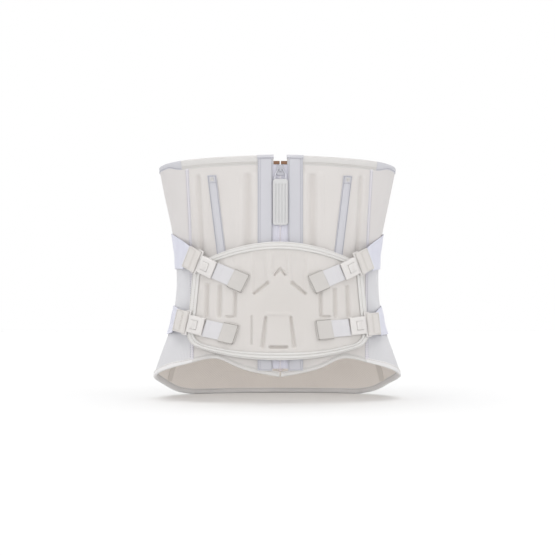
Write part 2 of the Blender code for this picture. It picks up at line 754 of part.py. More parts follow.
def abdominal_pad():
    outline = pad_outline()
    middle = Vector((PAD_CENTRE_X, PAD_CENTRE_Z))
    insets = (BINDING_GAP + BINDING_THICKNESS, BINDING_WIDTH)
    rings = [[pad_inset(p, middle, inset) for p in outline] for inset in insets]
    rings += [[(middle + (p - middle) * reach, reach) for p in outline] for reach in PAD_RING_REACHES]
    vertices, faces = [], []
    for side in (0, 1):
        for ring in rings:
            for flat, reach in ring:
                height = pad_front_height(flat.x, reach) if side else pad_back_height(flat.x)
                vertices.append(pad_point(flat, height))
        height = pad_front_height(middle.x, 0) if side else pad_back_height(middle.x)
        vertices.append(pad_point(middle, height))
    count = len(outline)
    layer = len(rings) * count + 1
    for i in range(count):
        j = (i + 1) % count
        for side in (0, layer):
            for ring in range(len(rings) - 1):
                a, b = side + ring * count, side + (ring + 1) * count
                faces.append((a + i, a + j, b + j, b + i))
            last = side + (len(rings) - 1) * count
            faces.append((last + i, last + j, side + layer - 1))
        faces.append((i, j, layer + j, layer + i))
    link_object("abdominal_pad", mesh_from("abdominal_pad", vertices, faces), pad_foam())


def pad_binding():
    """Folded tape round the pad's edge, with a leg on its front and one on its back."""
    outline = pad_outline()
    middle = Vector((PAD_CENTRE_X, PAD_CENTRE_Z))
    gap, thick = BINDING_GAP, BINDING_THICKNESS
    vertices, faces = [], []
    for p in outline:
        inner, inner_reach = pad_inset(p, middle, BINDING_WIDTH)
        fold, _ = pad_inset(p, middle, thick)
        back_edge, front_edge = pad_back_height(p.x), pad_front_height(p.x, 1)
        back_in, front_in = pad_back_height(inner.x), pad_front_height(inner.x, inner_reach)
        section = (
            (p, back_edge - gap - thick), (p, front_edge + gap + thick),
            (inner, front_in + gap + thick), (inner, front_in + gap),
            (fold, front_edge + gap), (fold, back_edge - gap),
            (inner, back_in - gap), (inner, back_in - gap - thick),
        )
        vertices += [pad_point(flat, height) for flat, height in section]
    corners = 8
    for i in range(len(outline)):
        j = (i + 1) % len(outline)
        for k in range(corners):
            m = (k + 1) % corners
            faces.append((i * corners + k, i * corners + m, j * corners + m, j * corners + k))
    link_object("pad_binding", mesh_from("pad_binding", vertices, faces), pad_edge_tape())


# ---------------------------------------------------------------- strap sets

def outward_sign(strap):
    return 1 if strap.x > 0 else -1


def strap_frame(strap):
    """Frame on the trunk: X along the strap and away from the pad, Z straight out."""
    angle = angle_at_x(strap.x, strap.z)
    along = along_section(angle, strap.z).normalized() * outward_sign(strap)
    step = 0.001
    up = (trunk_point(angle_at_x(strap.x, strap.z + step), strap.z + step)
          - trunk_point(angle_at_x(strap.x, strap.z - step), strap.z - step)).normalized()
    out = along.cross(up).normalized() * outward_sign(strap)
    up = up - up.dot(along) * along
    slope = math.radians(strap.slope)
    along = (along * math.cos(slope) + up.normalized() * math.sin(slope)).normalized()
    across = out.cross(along)
    frame = Matrix((along, across, out)).transposed().to_4x4()
    frame.translation = trunk_point(angle, strap.z)
    return frame


def strap_place(strap, out, across):
    """Angle and height on the trunk at a distance along the strap and one across it, upwards."""
    angle, z = angle_at_x(strap.x, strap.z), strap.z
    slope = math.radians(strap.slope)
    steps = 12
    for _ in range(steps):
        angle += outward_sign(strap) * degrees_for(out * math.cos(slope) / steps, angle, z)
        z += out * math.sin(slope) / steps
    angle -= outward_sign(strap) * degrees_for(across * math.sin(slope), angle, z)
    return angle, z + across * math.cos(slope)


def socket_mesh():
    half = SOCKET_HALF_WIDTH
    body = bevelled(box_mesh("socket", (-SOCKET_HALF_LENGTH, -half, SOCKET_HEIGHTS[0]),
                             (SOCKET_HALF_LENGTH, half, SOCKET_HEIGHTS[1])),
                    SOCKET_BEVEL, 2, lambda edge: True)
    cavity = box_mesh("cavity", (CAVITY_INNER_END, -CAVITY_HALF_WIDTH, CAVITY_HEIGHTS[0]),
                      (2 * SOCKET_HALF_LENGTH, CAVITY_HALF_WIDTH, CAVITY_HEIGHTS[1]))
    room = BUTTON_CLEARANCE
    window = box_mesh("window", (BUTTON_OUT[0] - room, -BUTTON_HALF_WIDTH - room, CAVITY_HEIGHTS[0] + room),
                      (BUTTON_OUT[1] + room, BUTTON_HALF_WIDTH + room, 2 * BUTTON_TOP))
    return combined("socket", body, cut=[cavity, window])


def button_mesh():
    """Button with a flange under the socket's top wall."""
    half, lip = BUTTON_HALF_WIDTH, BUTTON_FLANGE
    flange_bottom, flange_top = BUTTON_FLANGE_HEIGHTS
    stem_bottom = blend(flange_bottom, flange_top, 0.5)
    stem = bevelled(box_mesh("stem", (BUTTON_OUT[0], -half, stem_bottom), (BUTTON_OUT[1], half, BUTTON_TOP)),
                    SOCKET_BEVEL / 2, 2, lambda edge: min(v.co.z for v in edge.verts) > CAVITY_HEIGHTS[1])
    flange = box_mesh("flange", (BUTTON_OUT[0] - lip, -half - lip, flange_bottom),
                      (BUTTON_OUT[1] + lip, half + lip, flange_top))
    return combined("button", stem, joined=[flange])


def tongue_mesh():
    frame_half, slot_half = TONGUE_FRAME_HALF_WIDTH, TONGUE_SLOT_HALF_WIDTH
    prong = box_mesh("prong", (TONGUE_INNER_END, -TONGUE_HALF_WIDTH, TONGUE_HEIGHTS[0]),
                     (TONGUE_SLOT_OUT[0], TONGUE_HALF_WIDTH, TONGUE_HEIGHTS[1]))
    frame = bevelled(box_mesh("frame", (TONGUE_FRAME_OUT[0], -frame_half, TONGUE_HEIGHTS[0]),
                              (TONGUE_FRAME_OUT[1], frame_half, TONGUE_HEIGHTS[1])),
                     SOCKET_BEVEL, 3, lambda edge: edge_runs_along(edge, 2))
    slot = box_mesh("slot", (TONGUE_SLOT_OUT[0], -slot_half, 0), (TONGUE_SLOT_OUT[1], slot_half, BUTTON_TOP))
    return combined("tongue", combined("ring", frame, cut=[slot]), joined=[prong])


def webbing_tab_mesh():
    """Webbing folded round the tongue's outer bar and sewn to itself."""
    half = WEB_TAB_HALF_WIDTH
    outside = bevelled(box_mesh("tab", (WEB_TAB_OUT[0], -half, WEB_TAB_HEIGHTS[0]),
                                (WEB_TAB_OUT[1], half, WEB_TAB_HEIGHTS[1])),
                       WEB_TAB_BEVEL, 2, lambda edge: edge_runs_along(edge, 1))
    eye = box_mesh("eye", (WEB_TAB_EYE_OUT[0], -2 * half, WEB_TAB_EYE_HEIGHTS[0]),
                   (WEB_TAB_EYE_OUT[1], 2 * half, WEB_TAB_EYE_HEIGHTS[1]))
    return combined("webbing_tab", outside, cut=[eye])


def side_strap(strap):
    """Elastic strap from under the webbing tab round the side to the rear seam."""
    sign = outward_sign(strap)
    start_angle, start_z = strap_place(strap, SIDE_STRAP_START_OUT, 0)
    start_angle = abs(start_angle)
    frame = strap_frame(strap)
    tab_underside = frame @ Vector((SIDE_STRAP_START_OUT, 0, WEB_TAB_HEIGHTS[0]))
    foot = trunk_point(sign * start_angle, start_z)
    lift = (tab_underside - foot).dot(level_normal(sign * start_angle, start_z))
    lift -= SIDE_STRAP_FRONT_GAP + SIDE_STRAP_THICKNESS
    line = ((start_angle, start_z), (90, strap.side_height), (SIDE_STRAP_REAR_ANGLE, strap.side_height))
    width = ((start_angle, SIDE_STRAP_FRONT_HALF_WIDTH), (90, strap.side_half_width),
             (SIDE_STRAP_REAR_ANGLE, strap.side_half_width))
    lifts = ((start_angle, lift), (90, SIDE_STRAP_HEIGHT_AT_SIDE),
             (SIDE_STRAP_REAR_ANGLE, SIDE_STRAP_HEIGHT_AT_REAR))
    lean = math.radians(strap.slope)

    def place(u, v):
        angle = blend(start_angle, SIDE_STRAP_REAR_ANGLE, u)
        across = blend(-1, 1, v) * curve_value(width, angle)
        z = curve_value(line, angle) + across
        square = 1 - smooth_step(0, SIDE_STRAP_SQUARE_SHARE, u)
        angle -= square * degrees_for(across * math.sin(lean), sign * angle, z)
        height = curve_value(lifts, angle)
        return sign * angle, z, height, height + SIDE_STRAP_THICKNESS
    fabric_patch(strap.name + "_side_strap", white_elastic(), columns=14, rows=4, place=place)


def pad_strap(strap):
    """Webbing from the socket over the pad to its sewn end tab, wider and thicker at the end."""
    inner_end, outer_end = PAD_STRAP_OUT
    step = PAD_STRAP_STEP_OUT
    ramp = PAD_STRAP_STEP_HALF_LENGTH
    rise_start = outer_end - PAD_STRAP_RISE_LENGTH
    stations = [inner_end, (inner_end + step) / 2, step - ramp, step + ramp, (step + outer_end) / 2,
                blend(rise_start, outer_end, 0.25), outer_end]
    middle = Vector((PAD_CENTRE_X, PAD_CENTRE_Z))

    def place(u, v):
        out = stations[round(u * (len(stations) - 1))]
        at_end = out < step
        half_width = PAD_STRAP_END_HALF_WIDTH if at_end else PAD_STRAP_HALF_WIDTH
        thickness = PAD_STRAP_END_THICKNESS if at_end else PAD_STRAP_THICKNESS
        angle, z = strap_place(strap, out, blend(-half_width, half_width, v))
        x = trunk_point(angle, z).x
        reach = (Vector((x, z)) - middle).length / PAD_BOTTOM_CORNER[0]
        rise = PAD_STRAP_RISE * smooth_step(rise_start, outer_end, out)
        back = pad_front_height(x, reach) + PAD_STRAP_CLEARANCE + rise
        return angle, z, back, back + thickness
    fabric_patch(strap.name + "_pad_strap", white_elastic(), columns=len(stations) - 1, rows=2, place=place)


def strap_sets():
    socket, button, tongue, tab = socket_mesh(), button_mesh(), tongue_mesh(), webbing_tab_mesh()
    for strap in STRAP_SETS:
        frame = strap_frame(strap)
        link_object(strap.name + "_buckle_socket", socket, ivory_plastic(), frame)
        link_object(strap.name + "_release_button", button, ivory_plastic(), frame)
        link_object(strap.name + "_buckle_tongue", tongue, ivory_plastic(), frame)
        link_object(strap.name + "_webbing_tab", tab, webbing(), frame)
        side_strap(strap)
        pad_strap(strap)


def build():
    for old in list(bpy.data.objects):
        bpy.data.objects.remove(old, do_unlink=True)
    body_panels()
    rims()
    zip_strips()
    zip_slider()
    pull_link_and_tab()
    front_stays()
    rear_support()
    abdominal_pad()
    pad_binding()
    strap_sets()


build()
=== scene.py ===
import math
from collections import namedtuple

import bmesh
import bpy
import numpy as np
from mathutils import Matrix, Vector
from mathutils.bvhtree import BVHTree


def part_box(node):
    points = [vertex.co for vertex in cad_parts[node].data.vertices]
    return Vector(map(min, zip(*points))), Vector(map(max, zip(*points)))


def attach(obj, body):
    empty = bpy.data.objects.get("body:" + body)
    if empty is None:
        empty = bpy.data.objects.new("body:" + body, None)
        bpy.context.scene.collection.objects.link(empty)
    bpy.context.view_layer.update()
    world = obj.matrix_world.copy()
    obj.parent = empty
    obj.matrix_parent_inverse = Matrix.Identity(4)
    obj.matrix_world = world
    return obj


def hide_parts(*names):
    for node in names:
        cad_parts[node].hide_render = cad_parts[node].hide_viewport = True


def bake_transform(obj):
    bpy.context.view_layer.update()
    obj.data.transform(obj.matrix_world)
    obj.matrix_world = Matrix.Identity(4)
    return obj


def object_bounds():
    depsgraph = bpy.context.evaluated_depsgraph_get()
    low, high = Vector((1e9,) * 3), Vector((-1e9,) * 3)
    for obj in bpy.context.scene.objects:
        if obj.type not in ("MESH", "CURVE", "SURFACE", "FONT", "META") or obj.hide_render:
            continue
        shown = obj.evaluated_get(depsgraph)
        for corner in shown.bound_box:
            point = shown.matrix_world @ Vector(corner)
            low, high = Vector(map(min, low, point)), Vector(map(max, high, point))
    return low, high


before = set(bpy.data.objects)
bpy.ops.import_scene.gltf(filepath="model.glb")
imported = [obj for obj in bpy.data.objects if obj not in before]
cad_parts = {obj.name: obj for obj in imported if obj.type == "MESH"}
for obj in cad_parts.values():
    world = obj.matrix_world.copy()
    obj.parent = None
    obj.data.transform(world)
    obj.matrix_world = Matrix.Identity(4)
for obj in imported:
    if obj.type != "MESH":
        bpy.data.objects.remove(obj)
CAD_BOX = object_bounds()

# Looks of the back brace. The trunk surface and the sizes below repeat the CAD model's: metres and degrees,
# +Z up, the front faces -Y, "left" is -X, and a height or "out" is measured from the trunk outwards.
SECTION_POWER = 2.3
FRONT_DEPTH = 0.110
HALF_WIDTH_BY_HEIGHT = (
    (0.000, 0.1830), (0.030, 0.1755), (0.060, 0.1655), (0.100, 0.1515), (0.140, 0.1440), (0.170, 0.1423),
    (0.205, 0.1442), (0.240, 0.1500), (0.290, 0.1605), (0.340, 0.1710),
)
BACK_DEPTH_BY_HEIGHT = ((0.000, 0.122), (0.170, 0.092), (0.340, 0.112))
TOP_BY_ANGLE = ((0, 0.3310), (50, 0.3275), (90, 0.3250), (115, 0.3320), (180, 0.3380))
HEM_BY_ANGLE = (
    (0, 0.0365), (13, 0.0455), (29, 0.0605), (44, 0.0535), (90, 0.0300), (110, 0.0195), (132, 0.0030),
    (142, 0.0000), (180, 0.0000),
)
FABRIC_THICKNESS = 0.004
RIM_PROUD = 0.0004
RIM_STITCH_OUT = RIM_PROUD + 0.00005
FRONT_TOP_HEM_HEIGHT = 0.013
TOP_BINDING_HEIGHT = 0.008
FRONT_HEM_HEIGHT = 0.0065
REAR_HEM_HEIGHT = 0.008
FRONT_SEAM_X_BY_HEIGHT = ((0.050, 0.117), (0.210, 0.120), (0.330, 0.1255))
TOP_HEM_END_ANGLE = 50
TOP_RIM_TAPER = 14
HEM_SEAM_HEIGHT = 0.055
HEM_WIDENING_ANGLES = (46, 60)
REAR_SEAM_ANGLE = 118
SIDE_SPLIT_BY_ANGLE = ((50, 0.196), (90, 0.2080), (118, 0.2080))
MID_HEIGHT = 0.135
SEARCH_STEPS = 12
TAPE_EDGE = 0.0006
BAND_EDGE = 0.0004
SHARP_DEGREES = 50
MOULDING_SHARP_DEGREES = 45
CUSHION_SHARP_DEGREES = 70
TUCK = 0.0025

PANEL_FRONT_EDGE_X = 0.0130
TAPE_X = (0.0007, 0.0126)
TAPE_HEIGHTS = (-0.0013, -0.0004)
TAPE_BEAD = (0.0046, 0.0011, 0.0005)
ZIP_BOTTOM, ZIP_TOP = 0.0475, 0.3188
BAND_X = (0.0105, 0.0300)
BAND_HEIGHTS = (0.0006, 0.0018)
BAND_BOTTOM, BAND_TOP = 0.0450, 0.3270
PULL_AXIS_OUT = 0.0033
NOTCH_X = 0.0086
PLACKET_CAP_HEIGHT = 0.0058

STAY_BOTTOM, STAY_TOP = 0.120, 0.305
STAY_X_AT_TOP = 0.091
STAY_LEAN = 0.124
CASING_HALF_WIDTH = 0.0065
CASING_FRONT = 0.0024

SUPPORT_HALF_ANGLE = 34
SUPPORT_BOTTOM, SUPPORT_TOP = 0.055, 0.290
SUPPORT_HEIGHTS = (0.0014, 0.0046)
SUPPORT_METRES_PER_DEGREE = 0.0026
SUPPORT_CAP = 0.0014
REAR_STAY_X = (0.060, 0.022)
REAR_STAY_HALF_WIDTH = 0.006

PAD_CENTRE = np.array((-0.002, 0.135))
PAD_TOP_Z, PAD_BOTTOM_Z = 0.215, 0.059
PAD_TOP_CORNER = np.array((0.1085, 0.185))
PAD_BOTTOM_CORNER = np.array((0.1185, 0.080))
PAD_CORNER_LENGTH = 0.016
PAD_TAPE_JOIN = (0.1145, 0.105)
PAD_BOTTOM_POWER = 2.2
PAD_BACK = 0.0046
PAD_CHANNEL_DEPTH = 0.0022
PAD_CHANNEL_X = (0.013, 0.024)
PAD_EDGE_FRONT = 0.0086
PAD_CROWN = 0.0012
PAD_RIDGE = 0.0022
PAD_RIDGE_SPREAD = 1.3
BINDING_GAP = 0.0008
BINDING_THICKNESS = 0.0006
BINDING_WIDTH = 0.0100

SOCKET_HALF_LENGTH = 0.0120
SOCKET_HALF_WIDTH = 0.0120
SOCKET_HEIGHTS = (0.0102, 0.0162)
CAVITY_HEIGHTS = (0.0108, 0.0150)
CAVITY_INNER_END = -0.0085
CAVITY_HALF_WIDTH = 0.0080
BUTTON_OUT = (-0.0030, 0.0070)
BUTTON_HALF_WIDTH = 0.0058
BUTTON_HEIGHTS = (0.0140, 0.0176)
TONGUE_INNER_END = -0.0075
TONGUE_HALF_WIDTH = 0.0070
TONGUE_HEIGHTS = (0.0112, 0.0125)
TONGUE_FRAME_OUT = (0.0130, 0.0212)
TONGUE_FRAME_HALF_WIDTH = 0.0168
TONGUE_SLOT_OUT = (0.0150, 0.0192)
TONGUE_SLOT_HALF_WIDTH = 0.0155
WEB_TAB_HALF_WIDTH = 0.0150
SIDE_STRAP_START_OUT = 0.0320
SIDE_STRAP_START_HEIGHT = 0.0118
SIDE_STRAP_THICKNESS = 0.0015
SIDE_STRAP_HEIGHT = 0.0009
SIDE_STRAP_REAR_ANGLE = 116
SIDE_STRAP_FRONT_HALF_WIDTH = 0.0150
PAD_STRAP_HALF_WIDTH = 0.0112
PAD_STRAP_END_HALF_WIDTH = 0.0135
PAD_STRAP_CLEARANCE = 0.0009
PAD_STRAP_RISE = 0.0016
PAD_STRAP_RISE_LENGTH = 0.008
PAD_STRAP_RISE_END = -0.0125
PAD_STRAP_OUTER_END = -0.0110
END_TAB_OUT = (-0.0550, -0.0340)

StrapSet = namedtuple("StrapSet", "name x z slope side_height side_half_width")
STRAP_SETS = (
    StrapSet("upper_left", -0.0910, 0.1820, 25, 0.2080, 0.025),
    StrapSet("upper_right", 0.0868, 0.1800, 24, 0.2080, 0.025),
    StrapSet("lower_left", -0.1045, 0.1035, 12, 0.1115, 0.020),
    StrapSet("lower_right", 0.0972, 0.1030, 5, 0.1115, 0.020),
)
SIDES = (("left", -1), ("right", 1))


# ---------------------------------------------------------------- curves and the trunk surface

def smooth_step(low, high, value):
    t = np.clip((value - low) / (high - low), 0.0, 1.0)
    return t * t * (3 - 2 * t)


def blend(a, b, t):
    return a + (b - a) * t


def cubic(x, y, slope, at):
    """Cubic pieces through y at x with the given slopes, read at an array of places."""
    i = np.clip(np.searchsorted(x, at, side="right") - 1, 0, len(x) - 2)
    width = x[i + 1] - x[i]
    t = (at - x[i]) / width
    return (
        (2 * t**3 - 3 * t**2 + 1) * y[i]
        + (t**3 - 2 * t**2 + t) * width * slope[i]
        + (3 * t**2 - 2 * t**3) * y[i + 1]
        + (t**3 - t**2) * width * slope[i + 1]
    )


def curve_through(places, values, at):
    """Smooth curve through values at places, with centred slopes."""
    return cubic(places, values, np.gradient(values, places), at)


def curve(points, at):
    """Smooth curve through (place, value) points that never overshoots them, read at an array of places."""
    x, y = np.array(points, float).T
    at = np.clip(at, x[0], x[-1])
    chord = np.diff(y) / np.diff(x)
    before, after = chord[:-1], chord[1:]
    total = np.where(before + after == 0, 1, before + after)
    inner = np.where(before * after > 0, 2 * before * after / total, 0)
    slope = np.concatenate([chord[:1], inner, chord[-1:]])
    return cubic(x, y, slope, at)


def trunk(angle, z):
    """Points of the trunk at angles from the front centre line, positive towards +X."""
    angle, z = np.broadcast_arrays(np.asarray(angle, float), np.asarray(z, float))
    sine, cosine = np.sin(np.radians(angle)), np.cos(np.radians(angle))
    depth = np.where(cosine > 0, FRONT_DEPTH, curve(BACK_DEPTH_BY_HEIGHT, z))
    power = 2 / SECTION_POWER
    x = curve(HALF_WIDTH_BY_HEIGHT, z) * np.sign(sine) * np.abs(sine) ** power
    y = -depth * np.sign(cosine) * np.abs(cosine) ** power
    return np.stack([x, y, z], -1)


def along_section(angle, z):
    """How far the trunk's surface runs sideways for each degree."""
    step = 0.5
    return (trunk(angle + step, z) - trunk(angle - step, z)) / (2 * step)


def outward(angle, z):
    """Outward horizontal direction, so that an offset keeps its height."""
    along = along_section(angle, z)
    level = np.stack([along[..., 1], -along[..., 0], np.zeros_like(along[..., 0])], -1)
    return level / np.linalg.norm(level, axis=-1, keepdims=True)


def over(angle, z, out):
    """Points at a distance out from the trunk."""
    return trunk(angle, z) + outward(angle, z) * np.asarray(out)[..., None]


def angle_at_x(x, z):
    """Angle of the front of the trunk at a distance to the side."""
    share = np.minimum(np.abs(x) / curve(HALF_WIDTH_BY_HEIGHT, z), 1.0)
    return np.copysign(np.degrees(np.arcsin(share ** (SECTION_POWER / 2))), x)


def from_front(angle):
    """Degrees from the front centre line, whichever way round."""
    return np.abs((np.asarray(angle, float) + 180) % 360 - 180)


def top_height(angle):
    return curve(TOP_BY_ANGLE, from_front(angle))


def hem_height(angle):
    return curve(HEM_BY_ANGLE, from_front(angle))


def top_rim_height(angle):
    narrow = smooth_step(TOP_HEM_END_ANGLE, TOP_HEM_END_ANGLE + TOP_RIM_TAPER, from_front(angle))
    return blend(FRONT_TOP_HEM_HEIGHT, TOP_BINDING_HEIGHT, narrow)


def hem_rim_height(angle):
    return blend(FRONT_HEM_HEIGHT, REAR_HEM_HEIGHT, smooth_step(*HEM_WIDENING_ANGLES, from_front(angle)))


def front_seam_angle(z):
    return angle_at_x(curve(FRONT_SEAM_X_BY_HEIGHT, z), z)


def degrees_for(length, angle, z):
    """Degrees that a length along the section takes up."""
    return length / np.linalg.norm(along_section(angle, z), axis=-1)


def unit(vectors):
    return vectors / np.linalg.norm(vectors, axis=-1, keepdims=True)


# ---------------------------------------------------------------- node materials

class Finish:
    """A node material under construction. Sockets are passed about as values."""

    def __init__(self, name, roughness, metallic=0.0, sheen=0.0, specular=0.5):
        self.material = bpy.data.materials.new(name)
        self.material.use_nodes = True
        self.nodes = self.material.node_tree.nodes
        self.links = self.material.node_tree.links
        self.shader = self.nodes["Principled BSDF"]
        for socket, value in (("Roughness", roughness), ("Metallic", metallic), ("Sheen Weight", sheen),
                              ("Sheen Roughness", 0.5), ("Specular IOR Level", specular)):
            self.shader.inputs[socket].default_value = value

    def feed(self, socket, value):
        if isinstance(value, bpy.types.NodeSocket):
            self.links.new(value, socket)
        else:
            socket.default_value = value

    def math(self, operation, *values):
        node = self.nodes.new("ShaderNodeMath")
        node.operation = operation
        for socket, value in zip(node.inputs, values):
            self.feed(socket, value)
        return node.outputs[0]

    def flat(self):
        """Metres across and along the cloth and how much painted shade it takes, from the mesh's own
        attribute.
        """
        node = self.nodes.new("ShaderNodeAttribute")
        node.attribute_name = "flat"
        split = self.nodes.new("ShaderNodeSeparateXYZ")
        self.links.new(node.outputs["Vector"], split.inputs[0])
        return list(split.outputs)

    def wave(self, place, pitch, shift=0.0):
        """0 to 1 and back once in each pitch."""
        turn = self.math("MULTIPLY_ADD", place, 2 * math.pi / pitch, shift)
        return self.math("MULTIPLY_ADD", self.math("SINE", turn), 0.5, 0.5)

    def noise(self, scale, detail=3.0, stretch=(1, 1, 1), contrast=(0.3, 0.7)):
        """Noise from 0 to 1 in the object's own space, with scale in lumps per metre."""
        place = self.nodes.new("ShaderNodeTexCoord")
        mapping = self.nodes.new("ShaderNodeMapping")
        mapping.inputs["Scale"].default_value = stretch
        noise = self.nodes.new("ShaderNodeTexNoise")
        noise.inputs["Scale"].default_value = scale
        noise.inputs["Detail"].default_value = detail
        self.links.new(place.outputs["Object"], mapping.inputs[0])
        self.links.new(mapping.outputs[0], noise.inputs["Vector"])
        spread = self.nodes.new("ShaderNodeMapRange")
        spread.inputs["From Min"].default_value, spread.inputs["From Max"].default_value = contrast
        self.links.new(noise.outputs[0], spread.inputs["Value"])
        return spread.outputs[0]

    def mix(self, share, first, second):
        node = self.nodes.new("ShaderNodeMix")
        node.data_type = "RGBA"
        self.feed(node.inputs[0], share)
        for socket, value in ((node.inputs[6], first), (node.inputs[7], second)):
            self.feed(socket, value if isinstance(value, bpy.types.NodeSocket) else (*value, 1.0))
        return node.outputs[2]

    def colour(self, value):
        self.feed(self.shader.inputs["Base Color"], value)

    def vary_roughness(self, share, low, high):
        self.feed(self.shader.inputs["Roughness"], self.math("MULTIPLY_ADD", share, high - low, low))

    def bump(self, height, distance, strength=1.0):
        node = self.nodes.new("ShaderNodeBump")
        node.inputs["Distance"].default_value = distance
        node.inputs["Strength"].default_value = strength
        self.feed(node.inputs["Height"], height)
        if self.shader.inputs["Normal"].is_linked:
            self.links.new(self.shader.inputs["Normal"].links[0].from_socket, node.inputs["Normal"])
        self.links.new(node.outputs[0], self.shader.inputs["Normal"])


def shade_of(colour, factor):
    return tuple(min(channel * factor, 1.0) for channel in colour)


# Painted shade: cloth in a groove or a recess is painted darker and a little warmer, as shade falls there.
PAINTED_SHADE_TINT = (0.70, 0.67, 0.64)
CLOTH_MOTTLE = 0.05
RIB_SHARE = 0.75


def cloth(name, colour, pattern, depth, roughness=0.85, sheen=0.15, valley=0.86):
    """Woven or knitted finish. pattern(finish, across, along) gives the thread height from 0 to 1."""
    made = Finish(name, roughness=roughness, sheen=sheen, specular=0.25)
    across, along, pressed = made.flat()
    thread = pattern(made, across, along)
    fibre = made.noise(1400, detail=4.0)
    broad = made.noise(22, detail=2.0)
    dark = shade_of(colour, valley)
    woven = made.mix(thread, dark, colour)
    patchy = made.mix(made.math("MULTIPLY", broad, CLOTH_MOTTLE * 4), woven, shade_of(colour, 0.90))
    lit = made.mix(made.math("MULTIPLY", fibre, CLOTH_MOTTLE * 2), patchy, shade_of(colour, 1.06))
    # The attribute's third value paints shade: darker, warmer cloth in grooves and recesses.
    made.colour(made.mix(pressed, lit, tuple(c * k for c, k in zip(colour, PAINTED_SHADE_TINT))))
    made.vary_roughness(fibre, roughness - 0.08, roughness + 0.08)
    made.bump(fibre, 0.00006, 0.6)
    made.bump(thread, depth, 0.9)
    return made.material


def plain_weave(pitch):
    """Threads that pass over and under each other."""
    def pattern(made, across, along):
        first = made.wave(across, pitch)
        second = made.wave(along, pitch)
        cross = made.math("ABSOLUTE", made.math("SUBTRACT", first, second))
        return made.math("POWER", cross, 0.6)
    return pattern


def ribs(pitch, thread_pitch, along_cloth=False):
    """Ribs across a tape, or along it, with finer threads over them."""
    def pattern(made, across, along):
        ribbed, crossing = (across, along) if along_cloth else (along, across)
        coarse = made.math("POWER", made.wave(ribbed, pitch), 0.5)
        fine = made.wave(crossing, thread_pitch)
        return made.math("ADD", made.math("MULTIPLY", coarse, RIB_SHARE),
                         made.math("MULTIPLY", fine, 1 - RIB_SHARE))
    return pattern


def knit(wale, course):
    """Rows of V-shaped loops."""
    def pattern(made, across, along):
        column = made.math("DIVIDE", across, wale)
        inside = made.math("ABSOLUTE", made.math("SUBTRACT", made.math("FRACT", column), 0.5))
        slanted = made.math("MULTIPLY_ADD", inside, course * 1.3, along)
        rows = made.wave(slanted, course)
        legs = made.math("POWER", made.wave(made.math("MULTIPLY", inside, 2 * wale), wale, -math.pi / 2), 0.5)
        return made.math("MULTIPLY", made.math("MULTIPLY_ADD", rows, 0.6, 0.4), legs)
    return pattern


def spacer_mesh(pitch):
    """Small round holes set in a staggered pattern, as in a breathable lining."""
    def pattern(made, across, along):
        first = made.wave(made.math("ADD", across, along), pitch)
        second = made.wave(made.math("SUBTRACT", across, along), pitch)
        holes = made.math("MULTIPLY", first, second)
        return made.math("SUBTRACT", 1.0, made.math("POWER", holes, 2.0))
    return pattern


def herringbone(pitch, band):
    """Webbing with slanted threads that turn back in each band."""
    def pattern(made, across, along):
        turned = made.math("PINGPONG", across, band)
        slanted = made.wave(made.math("ADD", along, turned), pitch)
        return made.math("POWER", slanted, 0.6)
    return pattern


def moulded(name, colour, roughness, grain=1800, depth=0.00003, coat=0.0):
    """Moulded plastic or rubber: fine grain, faint flow marks, rubbed spots, and painted shade where the
    mesh's attribute asks for it.
    """
    made = Finish(name, roughness=roughness, specular=0.45)
    made.shader.inputs["Coat Weight"].default_value = coat
    made.shader.inputs["Coat Roughness"].default_value = 0.35
    flow = made.noise(60, detail=3.0, stretch=(1, 1, 3))
    fine = made.noise(grain, detail=4.0)
    rubbed = made.noise(260, detail=5.0, contrast=(0.52, 0.75))
    tone = made.mix(made.math("MULTIPLY", flow, 0.30), colour, shade_of(colour, 0.93))
    lit = made.mix(made.math("MULTIPLY", rubbed, 0.35), tone, shade_of(colour, 1.08))
    # Painted shade from the attribute's third value, as in the rubber tab's sunk panel.
    made.colour(made.mix(made.flat()[2], lit, shade_of(colour, 0.70)))
    both = made.math("ADD", made.math("MULTIPLY", fine, 0.5), made.math("MULTIPLY", rubbed, 0.5))
    made.vary_roughness(both, roughness - 0.06, roughness + 0.10)
    made.bump(fine, depth, 0.8)
    return made.material


def metal(name, colour, roughness):
    """Metal with fine brushed lines, cloudy tarnish and small scratches."""
    made = Finish(name, roughness=roughness, metallic=1.0)
    brushed = made.noise(900, detail=2.0, stretch=(1, 1, 24))
    cloudy = made.noise(300, detail=4.0)
    scratch = made.noise(1500, detail=6.0, stretch=(1, 8, 1), contrast=(0.60, 0.72))
    tone = made.mix(made.math("MULTIPLY", cloudy, 0.4), colour, shade_of(colour, 0.82))
    made.colour(made.mix(made.math("MULTIPLY", scratch, 0.3), tone, shade_of(colour, 1.15)))
    made.vary_roughness(brushed, roughness - 0.08, roughness + 0.12)
    made.bump(brushed, 0.00002, 0.5)
    return made.material


def thread(name, colour):
    """Twisted sewing thread."""
    made = Finish(name, roughness=0.6, sheen=0.2, specular=0.3)
    across, along, _ = made.flat()
    twist = made.wave(made.math("ADD", across, along), 0.00045)
    lint = made.noise(2200, detail=3.0)
    tone = made.mix(twist, shade_of(colour, 0.72), colour)
    made.colour(made.mix(made.math("MULTIPLY", lint, 0.25), tone, shade_of(colour, 1.15)))
    made.vary_roughness(lint, 0.5, 0.75)
    made.bump(twist, 0.00008, 0.8)
    return made.material


